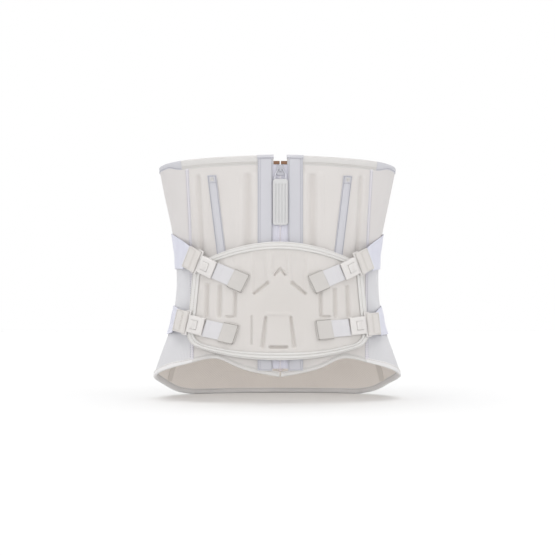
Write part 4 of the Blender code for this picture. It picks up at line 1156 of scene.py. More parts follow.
def pull_bail():
    """Bent wire that hangs the tab from the slider's bridge."""
    half = np.array(BAIL)
    loop = np.concatenate([half, half[-2:0:-1] * (-1, 1, 1)])
    three_rounds = np.concatenate([loop, loop, loop, loop[:1]])
    lengths = run_lengths(three_rounds[:, :2])
    count = len(loop)
    places = np.linspace(lengths[count], lengths[2 * count], 97)[:-1]
    x, z, radius = (curve_through(lengths, three_rounds[:, k], places) for k in range(3))
    along = unit(np.stack([np.roll(x, -1) - np.roll(x, 1), np.roll(z, -1) - np.roll(z, 1)], -1))
    turn = np.radians(np.arange(0, 360, 30))[None, :]
    sideways = radius[:, None] * np.cos(turn)
    y = -FRONT_DEPTH - PULL_AXIS_OUT + radius[:, None] * np.sin(turn)
    rings = np.stack([x[:, None] - along[:, 1:] * sideways, y, z[:, None] + along[:, :1] * sideways], -1)
    mesh = loft("pull_bail", rings, closed=True)
    piece("pull_bail", mesh, "pull_tab", "nickel", ["zip_pull_link"])


TAB_EDGE = 0.0011
TAB_CORNER = 0.0035
TAB_RIB_X = (-0.0042, 0.0, 0.0042)


def pull_tab():
    """Rubber tab with rounded corners, a sunk panel with three ribs on each face, and a thicker neck."""
    low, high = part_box("zip_pull_tab")
    width, tall = high.x - low.x, high.z - low.z
    across, along = stations(width, 0.0030, 0.0006), stations(tall, 0.0030, 0.0009)
    x = np.broadcast_to(across - width / 2, (len(along), len(across)))
    z = np.broadcast_to((along - tall / 2)[:, None], x.shape)
    x, z = corners_rounded(x, z, (width / 2, tall / 2), (TAB_CORNER, TAB_CORNER))
    z = z + low.z + tall / 2
    rim_share = roundness(across, along, TAB_EDGE)
    sunk = smooth_step(0.0018, 0.0026, np.minimum(across, width - across))[None, :]
    sunk = sunk * (smooth_step(0.0060, 0.0072, tall - along) * smooth_step(0.0022, 0.0032, along))[:, None]
    ribs_up = sum(groove(x - place, 0.0020) for place in TAB_RIB_X)
    half = (high.y - low.y) / 2
    thickness = half * rim_share - 0.00080 * sunk + 0.00075 * ribs_up * sunk
    middle = (low.y + high.y) / 2
    front = np.stack([x, middle - thickness, z], -1)
    back = np.stack([x, middle + thickness, z], -1)
    mesh = slab("pull_tab_grip", front, back)
    # Painted shade in the sunk panel between the ribs.
    mark_painted_shade(mesh, 0.45 * sunk * (1 - np.clip(ribs_up, 0, 1)))
    piece("pull_tab_grip", mesh, "pull_tab", "rubber", ["zip_pull_tab"])


# ---------------------------------------------------------------- front stay casings

CASING_FACES = (0.0002, 0.0012)
CASING_BULGE = CASING_FRONT - CASING_FACES[1]
CASING_STITCH_OFFSET = 0.0053
TACK_COUNT = 6
TACK_STEP = 0.00085
TACK_HALF_WIDTH = 0.0030


def casings():
    rows, tacks = [], []
    for side, sign in SIDES:
        def angle_at(z):
            return angle_at_x(sign * (STAY_X_AT_TOP - (STAY_TOP - z) * STAY_LEAN), z)

        seam_tape(side + "_stay_casing", angle_at, STAY_BOTTOM, STAY_TOP, CASING_HALF_WIDTH,
                  CASING_FACES, "grosgrain", [side + "_front_stay_casing"], bulge=CASING_BULGE)
        z = np.linspace(STAY_BOTTOM + 0.001, STAY_TOP - 0.001, 80)
        middle = angle_at(z)
        for offset in (-CASING_STITCH_OFFSET, CASING_STITCH_OFFSET):
            rows.append(trunk_row(middle + degrees_for(offset, middle, z), z, 0.00145))
        for z_end in (STAY_TOP - 0.0014, STAY_TOP - 0.0105):
            middle = angle_at(z_end)
            across = np.linspace(-0.0050, 0.0050, 12)
            rows.append(trunk_row(middle + degrees_for(1.0, middle, z_end) * across, z_end + 0 * across,
                                  0.0014 + CASING_BULGE * groove(across, 0.0056)))
        for k in range(TACK_COUNT):
            z_tack = STAY_TOP - 0.0035 - k * TACK_STEP
            middle = angle_at(z_tack)
            across = np.linspace(-TACK_HALF_WIDTH, TACK_HALF_WIDTH, 6)
            tacks.append(trunk_row(middle + degrees_for(1.0, middle, z_tack) * across, z_tack + 0 * across,
                                   CASING_FRONT + 0 * across))
    stitching("casing_stitching", rows, "lilac_thread", pitch=0.0024, length=0.0021, radius=0.00030)
    stitching("casing_bartacks", tacks, "light_thread", pitch=0.006, length=0.0058, radius=0.00040)


# ---------------------------------------------------------------- soft simulation

SIM_VOXEL = 0.004
SIM_FRAMES = 20
SIM_PRESSURE = 4.0


def blown_up(mesh, pinned, cap):
    """Cloth run under pressure on a remeshed copy of a closed solid. Returns its surface as a search tree."""
    work = added("soft_run", mesh)
    remesh = work.modifiers.new("even", "REMESH")
    remesh.mode, remesh.voxel_size = "VOXEL", SIM_VOXEL
    even = with_modifiers(work)
    work.modifiers.clear()
    work.data = even
    rest = np.array([v.co for v in even.vertices])
    group = work.vertex_groups.new(name="held")
    group.add(np.flatnonzero(pinned(rest)).tolist(), 1.0, "REPLACE")
    cloth_run = work.modifiers.new("cloth", "CLOTH")
    settings = cloth_run.settings
    settings.quality = 5
    settings.mass = 0.2
    settings.tension_stiffness = settings.compression_stiffness = 12
    settings.bending_stiffness = 0.4
    settings.use_pressure = True
    settings.uniform_pressure_force = SIM_PRESSURE
    settings.effector_weights.gravity = 0
    settings.vertex_group_mass = "held"
    cloth_run.point_cache.frame_start, cloth_run.point_cache.frame_end = 1, SIM_FRAMES
    for number in range(1, SIM_FRAMES + 1):
        bpy.context.scene.frame_set(number)
    moved = work.evaluated_get(bpy.context.evaluated_depsgraph_get()).to_mesh()
    swollen = np.array([v.co for v in moved.vertices])
    shift = swollen - rest
    size = np.maximum(np.linalg.norm(shift, axis=1, keepdims=True), 1e-9)
    swollen = rest + shift * np.minimum(1, cap / size)
    tree = BVHTree.FromPolygons(swollen.tolist(), [tuple(p.vertices) for p in even.polygons])
    bpy.context.scene.frame_set(1)
    bpy.data.objects.remove(work, do_unlink=True)
    return tree


def surface_heights(tree, angle, z, otherwise):
    """How far out the simulated surface lies at each place, or the given height where it has none."""
    far = 0.05
    starts, directions = over(angle, z, far + 0 * z), -outward(angle, z)
    heights = np.array(otherwise, float)
    for place in np.ndindex(heights.shape):
        hit = tree.ray_cast(Vector(starts[place]), Vector(directions[place]), far * 2)
        if hit[0] is not None:
            heights[place] = far - hit[3]
    return heights


# ---------------------------------------------------------------- abdominal pad

PAD_AROUND = 520
PAD_RINGS = 104
PAD_CAP = 0.0022
# Creases pressed into the pad, as (x, z) ends in millimetres, half widths at both ends and depth.
PAD_CREASES = (
    ((-0.7, 179.8), (-7.4, 171.0), (3.4, 2.2), 3.2), ((-0.7, 179.8), (5.6, 171.0), (3.4, 2.2), 3.2),
    ((-17.0, 160.5), (-33.5, 147.0), (4.2, 3.0), 3.8), ((15.5, 160.5), (31.5, 147.0), (4.2, 3.0), 3.8),
    ((-92.5, 158.0), (-94.0, 117.5), (4.0, 4.2), 2.9), ((-76.5, 156.0), (-77.5, 117.5), (4.0, 4.2), 2.9),
    ((-57.5, 148.0), (-58.0, 117.5), (3.2, 3.6), 2.8), ((51.0, 148.0), (52.0, 117.5), (3.2, 3.6), 2.8),
    ((69.5, 152.0), (70.5, 117.5), (4.0, 4.2), 2.9), ((86.0, 156.0), (87.5, 117.5), (4.0, 4.2), 2.9),
    ((-19.0, 115.0), (-23.0, 77.5), (2.8, 4.4), 2.9), ((13.0, 115.0), (17.5, 77.5), (2.8, 4.4), 2.9),
    ((-13.0, 76.2), (7.5, 76.2), (3.0, 3.0), 3.8), ((-36.8, 117.0), (-37.2, 80.0), (1.9, 1.4), 1.5),
    ((-68.5, 116.0), (-59.5, 116.0), (2.6, 2.6), 2.4), ((53.5, 116.0), (62.5, 116.0), (2.6, 2.6), 2.4),
)
# Flutes that come down from the pad's top edge, in millimetres: x range, then its foot's middle x and height
# and how steeply the foot falls away from there.
PAD_FLUTES = (
    ((-34.5, -18.5), 0.0, 174.5, 0.83), ((-10.5, 8.5), -0.7, 180.5, 1.10), ((13.5, 33.0), 0.0, 174.5, 0.83),
)
FLUTE_DEPTH = 0.0025
FLUTE_EDGE = 0.0026
# Crease depth at which the painted shade is full, and the size of the painted shade over the pad's middle.
CREASE_FULLY_DARK = 0.0080
PAD_SHADE_SIZE = (0.055, 0.045)


def crease(x, z, start, end, half_widths, depth):
    start, end = np.array(start) / 1000, np.array(end) / 1000
    run = end - start
    t = np.clip(((x - start[0]) * run[0] + (z - start[1]) * run[1]) / run.dot(run), 0, 1)
    distance = np.hypot(x - start[0] - t * run[0], z - start[1] - t * run[1])
    return groove(distance, blend(*half_widths, t) / 1000) * depth / 1000


def pad_creases(x, z):
    """Depth of the creases pressed into the pad's face."""
    pressed = np.zeros_like(x)
    for shape in PAD_CREASES:
        pressed = np.maximum(pressed, crease(x, z, *shape))
    return pressed


def pad_relief(x, z):
    """Depth pressed into the pad's face by creases and flutes."""
    pressed = pad_creases(x, z)
    for (low, high), middle, foot, fall in PAD_FLUTES:
        inside = smooth_step(low / 1000 - FLUTE_EDGE, low / 1000 + FLUTE_EDGE, x)
        inside = inside * (1 - smooth_step(high / 1000 - FLUTE_EDGE, high / 1000 + FLUTE_EDGE, x))
        above = z - (foot / 1000 - fall * np.abs(x - middle / 1000))
        length = smooth_step(0, 0.003, above) * (1 - smooth_step(0.190, 0.206, z))
        pressed = np.maximum(pressed, inside * length * FLUTE_DEPTH)
    plateau = smooth_step(0.1165, 0.1190, z) * (1 - smooth_step(0.1200, 0.1235, z))
    plateau = plateau * (1 - smooth_step(0.012, 0.018, np.abs(x + 0.003)))
    return pressed - plateau * 0.0010


def channel_share(x):
    """1 over the middle channel behind the pad, where the zip runs, and 0 beside it."""
    return 1 - smooth_step(*PAD_CHANNEL_X, np.abs(x))


def pad_back_height(x):
    return PAD_BACK + PAD_CHANNEL_DEPTH * channel_share(x)


def pad_front_height(x, reach):
    crown = PAD_CROWN * (1 - np.minimum(reach, 1) ** 2)
    return PAD_EDGE_FRONT + crown + PAD_RIDGE * channel_share(x / PAD_RIDGE_SPREAD)


def pad_outline(count):
    """Evenly spaced points round the pad's edge, as (x, z)."""
    def bottom(x):
        return blend(PAD_BOTTOM_Z, PAD_BOTTOM_CORNER[1], (x / PAD_BOTTOM_CORNER[0]) ** PAD_BOTTOM_POWER)

    def top(x):
        return blend(PAD_TOP_Z, PAD_TOP_CORNER[1], (x / PAD_TOP_CORNER[0]) ** 2)

    def corner(before, tip, after):
        t = np.linspace(0, 1, 14)[1:-1, None]
        return before * (1 - t) ** 2 + tip * 2 * t * (1 - t) + after * t**2

    up = unit(PAD_TOP_CORNER - PAD_BOTTOM_CORNER)
    low_x = np.linspace(0, PAD_BOTTOM_CORNER[0] - PAD_CORNER_LENGTH, 40)
    high_x = np.linspace(PAD_TOP_CORNER[0] - PAD_CORNER_LENGTH, 0, 40)
    low_edge = np.stack([low_x, bottom(low_x)], -1)
    high_edge = np.stack([high_x, top(high_x)], -1)
    side_low = PAD_BOTTOM_CORNER + up * PAD_CORNER_LENGTH
    side_high = PAD_TOP_CORNER - up * PAD_CORNER_LENGTH
    half = np.concatenate([low_edge, corner(low_edge[-1], PAD_BOTTOM_CORNER, side_low), [side_low, side_high],
                           corner(side_high, PAD_TOP_CORNER, high_edge[0]), high_edge])
    whole = np.concatenate([half, half[-2:0:-1] * (-1, 1), half[:1]])
    lengths = run_lengths(whole)
    places = np.linspace(0, lengths[-1], count + 1)[:-1]
    even = np.stack([np.interp(places, lengths, whole[:, k]) for k in (0, 1)], -1)
    even = np.roll(even, -np.argmin(np.linalg.norm(even - PAD_TAPE_JOIN, axis=1)), axis=0)
    return even + (PAD_CENTRE[0], 0)


def pad_grid(reaches):
    """Places inside the pad, ring by ring, as arrays of x and z with how far out each is."""
    outward_run = pad_outline(PAD_AROUND) - PAD_CENTRE
    length = np.linalg.norm(outward_run, axis=1)
    edge = 1 - (BINDING_GAP + BINDING_THICKNESS) / length
    reach = edge[None, :] * np.asarray(reaches)[:, None]
    places = PAD_CENTRE + outward_run[None] * reach[..., None]
    return places[..., 0], places[..., 1], reach


def pad_points(x, z, height):
    return over(angle_at_x(x, z), z, height)


def disc_slab(name, front, back):
    """Closed cushion from rings of front and back points that share their outer ring's directions."""
    around = front.shape[1]
    columns = np.arange(around + 1) % around
    front_index = (np.arange(front.shape[0]) * around)[:, None] + columns[None, :]
    back_start = front.shape[0] * around
    back_index = back_start + (np.arange(back.shape[0]) * around)[:, None] + columns[None, :]
    faces = [quads(front_index), quads(back_index)[:, ::-1]]
    rim_faces = np.stack([front_index[0, :-1], back_index[0, :-1], back_index[0, 1:], front_index[0, 1:]], -1)
    points = np.concatenate([front.reshape(-1, 3), back.reshape(-1, 3)])
    faces.append(rim_faces)
    for index, flip in ((front_index, False), (back_index, True)):
        ring = index[-1, :-1]
        halves = around // 2
        cap = np.array([(ring[k], ring[k + 1], ring[around - k - 2], ring[around - k - 1])
                        for k in range(halves - 1)])
        faces.append(cap[:, ::-1] if flip else cap)
    flat = np.zeros((len(points), 3))
    flat[:, 0], flat[:, 1] = points[:, 0], points[:, 2]
    return mesh_of(name, points, np.concatenate(faces), flat, sharp=CUSHION_SHARP_DEGREES)


def abdominal_pad():
    reaches = 1 - np.linspace(0, 1, PAD_RINGS) ** 1.15 * 0.985
    x, z, reach = pad_grid(reaches)
    base = pad_front_height(x, reach)
    back_reaches = np.linspace(1, 0.03, 9)
    bx, bz, _ = pad_grid(back_reaches)
    back = pad_points(bx, bz, pad_back_height(bx))
    height = base + pad_swell(x, z, reach, base, back)
    near_edge = smooth_step(BINDING_WIDTH * 0.6, BINDING_WIDTH * 1.5, (1 - reach) * 0.10)
    pressed = pad_relief(x, z) * near_edge
    front = pad_points(x, z, height - pressed)
    mesh = disc_slab("pad_cushion", front, back)
    # Painted shade in the creases, and the pad painted darker towards its middle.
    centre = 0.17 * np.exp(-((x / PAD_SHADE_SIZE[0]) ** 2 + ((z - PAD_CENTRE[1]) / PAD_SHADE_SIZE[1]) ** 2))
    mark_painted_shade(mesh, np.clip(pad_creases(x, z) / CREASE_FULLY_DARK + centre, 0, 1))
    pad = piece("pad_cushion", mesh, "brace", "pad_face", ["abdominal_pad"])


def pad_swell(x, z, reach, base, back):
    """How much the pad's face swells between its creases, by cloth pressure."""
    coarse = slice(None, None, 8)
    slack = pad_points(x[coarse], z[coarse], base[coarse])
    start = disc_slab("pad_start", slack, back)

    def pinned(points):
        held = pad_relief(points[:, 0], points[:, 2]) > 0.0008
        run = points[:, (0, 2)] - PAD_CENTRE
        outline = pad_outline(PAD_AROUND) - PAD_CENTRE
        bearing = np.arctan2(outline[:, 1], outline[:, 0])
        order = np.argsort(bearing)
        limit = np.interp(np.arctan2(run[:, 1], run[:, 0]), bearing[order],
                          np.linalg.norm(outline, axis=1)[order], period=2 * math.pi)
        return held | (np.linalg.norm(run, axis=1) > limit - BINDING_WIDTH)

    tree = blown_up(start, pinned, PAD_CAP)
    found = surface_heights(tree, angle_at_x(x, z), z, base)
    swell = np.clip(found - base, -0.0004, PAD_CAP)
    return swell * smooth_step(0, 0.12, 1 - reach)


# The pad's binding in section: distance in from the edge and height over the pad in tape thicknesses.
BINDING_FRONT = (
    (BINDING_WIDTH, 0.1), (BINDING_WIDTH - 0.0003, 1.2), (0.0088, 2.2), (0.0078, 2.3), (0.0069, 1.3),
    (0.0063, 0.9), (0.0056, 1.5), (0.0044, 2.4), (0.0032, 2.2), (0.0022, 1.2),
)
BINDING_BACK = ((0.0040, 1.0), (BINDING_WIDTH, 1.0), (BINDING_WIDTH, 0.0), (0.0030, 0.2))
BINDING_FOLD = 0.0018
BINDING_STITCHES = ((0.0021, 1.15), (0.0064, 1.0))


def pad_edge():
    """Folded tape round the pad, and its two rows of stitches."""
    outline = pad_outline(PAD_AROUND)
    run = outline - PAD_CENTRE
    length = np.linalg.norm(run, axis=1, keepdims=True)

    def inset(distance):
        return PAD_CENTRE + run * (1 - distance / length)

    gap, thick = BINDING_GAP, BINDING_THICKNESS
    edge_back, edge_front = pad_back_height(outline[:, 0]), pad_front_height(outline[:, 0], 1)
    middle, half = (edge_back + edge_front) / 2, (edge_front - edge_back) / 2 + gap + thick

    def front_at(distance, lift):
        place = inset(distance)
        reach = (1 - distance / length)[:, 0]
        return pad_points(place[:, 0], place[:, 1], pad_front_height(place[:, 0], reach) + gap + lift)

    def back_at(distance, drop):
        place = inset(distance)
        return pad_points(place[:, 0], place[:, 1], pad_back_height(place[:, 0]) - gap - drop)

    rings = [front_at(distance, height * thick) for distance, height in BINDING_FRONT]
    for turn in np.radians(np.linspace(70, -70, 7)):
        place = inset(BINDING_FOLD - BINDING_FOLD * math.cos(turn))
        rings.append(pad_points(place[:, 0], place[:, 1], middle + half * math.sin(turn)))
    rings += [back_at(distance, height * thick) for distance, height in BINDING_BACK]
    place = inset(0.0016)
    rings.append(pad_points(place[:, 0], place[:, 1], middle))
    rings.append(front_at(0.0030, -0.2 * thick))
    mesh = loft("pad_edge_binding", np.stack(rings, 1), closed=True)
    piece("pad_edge_binding", mesh, "brace", "pad_tape", ["pad_binding"])
    rows = []
    for distance, height in BINDING_STITCHES:
        points = front_at(distance, height * thick)
        place = inset(distance)
        normals = outward(angle_at_x(place[:, 0], place[:, 1]), place[:, 1])
        rows.append(closed_row(points, normals))
    stitching("pad_edge_stitching", rows, "beige_thread", pitch=0.0029)


# ---------------------------------------------------------------- rear support

SUPPORT_WIDTH = 0.17
SUPPORT_CORNER = (6.5, 0.0155)
SUPPORT_SOFT_EDGE = 0.006
SUPPORT_HELD_EDGE = 0.010
STAY_SEAM_HALF_WIDTH = 0.0030
STAY_SEAM_DEPTH = 0.0012


def rear_support():
    """Padded panel over four flat stays, bound at its edge, with a sewn channel over each stay."""
    u = np.linspace(0, 1, 150)[None, :]
    v = np.linspace(0, 1, 130)[:, None]
    tall = SUPPORT_TOP - SUPPORT_BOTTOM
    angle, z = corners_rounded((2 * u - 1) * SUPPORT_HALF_ANGLE + 0 * v, (v - 0.5) * tall + 0 * u,
                               (SUPPORT_HALF_ANGLE, tall / 2), SUPPORT_CORNER)
    angle, z = 180 + angle, SUPPORT_BOTTOM + tall / 2 + z
    low, high = SUPPORT_HEIGHTS
    x = trunk(angle, z)[..., 0]
    nearest_u = np.minimum(u, 1 - u) * SUPPORT_WIDTH
    nearest_v = np.minimum(v, 1 - v) * tall
    edge = smooth_step(0, SUPPORT_SOFT_EDGE, nearest_u) * smooth_step(0, SUPPORT_SOFT_EDGE, nearest_v)
    seams = [sign * (place + step) for sign in (-1, 1) for place in REAR_STAY_X
             for step in (-REAR_STAY_HALF_WIDTH - 0.002, REAR_STAY_HALF_WIDTH + 0.002)]
    pressed = sum(groove(x - seam, STAY_SEAM_HALF_WIDTH) for seam in seams)
    pressed = pressed * smooth_step(0.012, 0.016, nearest_v)
    base = low + 0.0010 + (high - low - 0.0014) * edge
    swell = 0.0006 * edge
    back = over(angle, z, low + 0 * z)
    start = slab("support_start", over(angle, z, base)[::5, ::5], back[::5, ::5])

    def pinned(points):
        at_seam = sum(groove(points[:, 0] - seam, STAY_SEAM_HALF_WIDTH) for seam in seams) > 0.25
        side = np.abs(points[:, 0]) > np.abs(x).max() - SUPPORT_HELD_EDGE
        foot = points[:, 2] < SUPPORT_BOTTOM + SUPPORT_HELD_EDGE
        head = points[:, 2] > SUPPORT_TOP - SUPPORT_HELD_EDGE
        return at_seam | side | foot | head

    tree = blown_up(start, pinned, SUPPORT_CAP)
    swell = np.clip(surface_heights(tree, angle, z, base) - base, 0, SUPPORT_CAP) * edge
    front = over(angle, z, base + swell - STAY_SEAM_DEPTH * pressed)
    made = piece("rear_support_pad", slab("rear_support_pad", front, back), "brace", "moulded_cloth",
                 ["rear_support_panel"])
    support_edge(seams)


def support_edge(seams):
    """Binding tape round the rear support, and the stitches of it and of the stay channels."""
    low_angle, high_angle = 180 - SUPPORT_HALF_ANGLE, 180 + SUPPORT_HALF_ANGLE
    radius, count = 6.0, 10
    corner_z = 0.014
    turn = np.radians(np.linspace(0, 90, count))
    path = []
    corners = ((high_angle, SUPPORT_TOP), (low_angle, SUPPORT_TOP), (low_angle, SUPPORT_BOTTOM),
               (high_angle, SUPPORT_BOTTOM))
    for start, (a, z) in enumerate(corners):
        inward_a = -radius if start in (0, 3) else radius
        inward_z = -corner_z if start in (0, 1) else corner_z
        phase = turn + math.pi / 2 * start
        centre = np.array((a + inward_a, z + inward_z))
        path.extend(centre + np.stack([radius * np.cos(phase), corner_z * np.sin(phase)], -1))
    path = np.array(path + path[:1])
    lengths = run_lengths(path * (SUPPORT_METRES_PER_DEGREE, 1))
    places = np.linspace(0, lengths[-1], 301)[:-1]
    angle, z = (np.interp(places, lengths, path[:, k]) for k in (0, 1))
    centre_a, centre_z = 180.0, (SUPPORT_BOTTOM + SUPPORT_TOP) / 2
    low, high = SUPPORT_HEIGHTS

    def ring(inset, height):
        run_a, run_z = angle - centre_a, z - centre_z
        length = np.hypot(run_a * SUPPORT_METRES_PER_DEGREE, run_z)
        share = 1 - inset / length
        return over(centre_a + run_a * share, centre_z + run_z * share, height + 0 * z)

    rings = [ring(0.0090, high - 0.0010), ring(0.0086, high + 0.0001), ring(0.0050, high + 0.0003),
             ring(0.0018, high + 0.0001), ring(0.0004, high - 0.0008), ring(0, (low + high) / 2),
             ring(0.0006, low - 0.0004), ring(0.0040, low - 0.0007), ring(0.0088, low - 0.0007),
             ring(0.0088, low - 0.0002), ring(0.0030, low + 0.0004), ring(0.0030, high - 0.0010)]
    mesh = loft("support_binding", np.stack(rings, 1), closed=True)
    piece("support_binding", mesh, "brace", "grosgrain")
    points = ring(0.0070, high + 0.00022)
    normals = outward(angle, z)
    rows = [closed_row(points, normals)]
    z_line = np.linspace(SUPPORT_BOTTOM + 0.016, SUPPORT_TOP - 0.016, 80)
    for seam in seams:
        rows.append(trunk_row(180 - angle_at_x(seam, z_line), z_line, high - 0.0014))
    stitching("support_stitching", rows, "beige_thread")


# ---------------------------------------------------------------- strap sets

def outward_sign(strap):
    """Which way along X the strap leads away from the pad."""
    return 1 if strap.x > 0 else -1


def strap_frame(strap):
    """Frame on the trunk: X along the strap and away from the pad, Z straight out."""
    angle = angle_at_x(strap.x, strap.z)
    along = unit(along_section(angle, strap.z)) * outward_sign(strap)
    step = 0.001
    up = trunk(angle_at_x(strap.x, strap.z + step), strap.z + step)
    up = unit(up - trunk(angle_at_x(strap.x, strap.z - step), strap.z - step))
    out = unit(np.cross(along, up)) * outward_sign(strap)
    up = up - up.dot(along) * along
    slope = math.radians(strap.slope)
    along = unit(along * math.cos(slope) + unit(up) * math.sin(slope))
    across = np.cross(out, along)
    placed = Matrix(np.stack([along, across, out], 1).tolist()).to_4x4()
    placed.translation = Vector(trunk(angle, strap.z))
    return placed


def strap_place(strap, out, across):
    """Angle and height on the trunk at a distance along the strap and one across it, upwards."""
    slope, sign, steps = math.radians(strap.slope), outward_sign(strap), 12
    out, across = np.broadcast_arrays(np.asarray(out, float), across)
    z = strap.z + 0 * out
    angle = angle_at_x(strap.x, strap.z) + 0 * out
    for _ in range(steps):
        angle = angle + sign * degrees_for(1.0, angle, z) * out * math.cos(slope) / steps
        z = z + out * math.sin(slope) / steps
    angle = angle - sign * degrees_for(1.0, angle, z) * across * math.sin(slope)
    return angle, z + across * math.cos(slope)


BUTTON_ROOM = 0.0003
STRAP_SLOT = ((-2 * SOCKET_HALF_LENGTH, -0.0104, 0.0110), (-0.0098, 0.0104, 0.0142))
GRIP_X = (-0.0075, -0.0050, 0.0090)
GRIP_HALF = 0.0005
GRIP_HEIGHTS = (0.0120, 0.02)


def socket_mesh():
    half, room = SOCKET_HALF_WIDTH, BUTTON_ROOM
    body = box_mesh("socket", (-SOCKET_HALF_LENGTH, -half, SOCKET_HEIGHTS[0]),
                    (SOCKET_HALF_LENGTH, half, SOCKET_HEIGHTS[1]), 0.0020, 5)
    cavity = box_mesh("cavity", (CAVITY_INNER_END, -CAVITY_HALF_WIDTH, CAVITY_HEIGHTS[0]),
                      (2 * SOCKET_HALF_LENGTH, CAVITY_HALF_WIDTH, CAVITY_HEIGHTS[1]))
    window = box_mesh("window", (BUTTON_OUT[0] - room, -BUTTON_HALF_WIDTH - room, CAVITY_HEIGHTS[0] + 0.0004),
                      (BUTTON_OUT[1] + room, BUTTON_HALF_WIDTH + room, 0.03))
    strap_slot = box_mesh("strap_slot", *STRAP_SLOT)
    grips = []
    for x in GRIP_X:
        for y in (-half, half):
            grips.append(box_mesh("grip", (x - GRIP_HALF, y - GRIP_HALF, GRIP_HEIGHTS[0]),
                                  (x + GRIP_HALF, y + GRIP_HALF, GRIP_HEIGHTS[1])))
    return combined("socket", body, cut=[cavity, window, strap_slot, *grips], bevel=0.00025)


def button_mesh():
    low, high = BUTTON_HEIGHTS
    half = BUTTON_HALF_WIDTH
    stem = box_mesh("stem", (BUTTON_OUT[0], -half, low), (BUTTON_OUT[1], half, high), 0.0011, 4)
    ridges = []
    for x in (0.0002, 0.0020, 0.0038):
        start = (x - 0.00045, -half + 0.0016, high - 0.0006)
        ridges.append(box_mesh("ridge", start, (x + 0.00045, half - 0.0016, high + 0.0003), 0.0003, 2))
    return combined("button", stem, joined=ridges)


def tongue_mesh():
    frame_half, slot_half = TONGUE_FRAME_HALF_WIDTH, TONGUE_SLOT_HALF_WIDTH
    prong = box_mesh("prong", (TONGUE_INNER_END, -TONGUE_HALF_WIDTH, TONGUE_HEIGHTS[0]),
                     (TONGUE_SLOT_OUT[0], TONGUE_HALF_WIDTH, TONGUE_HEIGHTS[1]), 0.0004, 2)
    ring = box_mesh("ring", (TONGUE_FRAME_OUT[0], -frame_half, TONGUE_HEIGHTS[0] - 0.0001),
                    (TONGUE_FRAME_OUT[1], frame_half, TONGUE_HEIGHTS[1] + 0.0003), 0.0006, 3)
    slot = box_mesh("slot", (TONGUE_SLOT_OUT[0], -slot_half, 0), (TONGUE_SLOT_OUT[1], slot_half, 0.03))
    return combined("tongue", combined("ring", ring, cut=[slot]), joined=[prong], bevel=0.0002)


RIBBON_EDGE = 0.0005


def ribbon(name, path, half_width, thickness):
    """Tape through points of a strap frame's X and Z, lying across Y."""
    path = np.array(path, float)
    lengths = run_lengths(path)
    places = np.linspace(0, lengths[-1], 60)
    x, z = (curve_through(lengths, path[:, k], places) for k in (0, 1))
    along = unit(np.stack([np.gradient(x), np.gradient(z)], -1))
    normal = np.stack([-along[:, 1], along[:, 0]], -1)
    across = stations(2 * half_width, RIBBON_EDGE, 0.0012)
    half = roundness(across, places, RIBBON_EDGE) * thickness / 2
    grids = []
    for side in (1, -1):
        grid = np.zeros((len(places), len(across), 3))
        grid[..., 0] = x[:, None] + side * normal[:, :1] * half
        grid[..., 1] = (across - half_width)[None, :]
        grid[..., 2] = z[:, None] + side * normal[:, 1:] * half
        grids.append(grid)
    return slab(name, *grids)


WEB_TAB_PATH = (
    (0.0366, 0.0128), (0.0320, 0.0134), (0.0262, 0.0138), (0.0212, 0.0141), (0.0178, 0.0137),
    (0.0162, 0.0125), (0.0167, 0.0109), (0.0192, 0.0101), (0.0250, 0.0101), (0.0320, 0.0104),
    (0.0366, 0.0103),
)
WEB_TAB_THICKNESS = 0.0011
WEB_TAB_STITCHES = ((0.0236, 0.01458), (0.0252, 0.01451), (0.0348, 0.01374))
WEB_TAB_STITCHED_X = (0.0256, 0.0346)
WEB_TAB_STITCH_HEIGHT = 0.01449
WEB_TAB_FALL = 0.078


def local_row(matrix, points):
    """A row of stitches given in a strap's frame."""
    points = np.array([matrix @ Vector(p) for p in points])
    normals = np.broadcast_to(np.array(matrix.to_3x3() @ Vector((0, 0, 1))), points.shape)
    return points, normals


def webbing_tab(strap, placed):
    name = strap.name + "_webbing_loop"
    body = strap.name + "_tongue"
    mesh = ribbon(name, WEB_TAB_PATH, WEB_TAB_HALF_WIDTH, WEB_TAB_THICKNESS)
    piece(name, mesh, body, "tab_webbing", [strap.name + "_webbing_tab"], placed)
    half = WEB_TAB_HALF_WIDTH - 0.0018
    rows = []
    for x, height in WEB_TAB_STITCHES:
        y = np.linspace(-half, half, 24)
        rows.append(local_row(placed, [(x, value, height) for value in y]))
    x = np.linspace(*WEB_TAB_STITCHED_X, 10)
    heights = WEB_TAB_STITCH_HEIGHT - (x - WEB_TAB_STITCHED_X[0]) * WEB_TAB_FALL
    for y in (-half, half):
        rows.append(local_row(placed, [(place, y, height) for place, height in zip(x, heights)]))
    stitching(name + "_stitching", rows, "beige_thread", body, pitch=0.0022, length=0.0018, radius=0.00025)


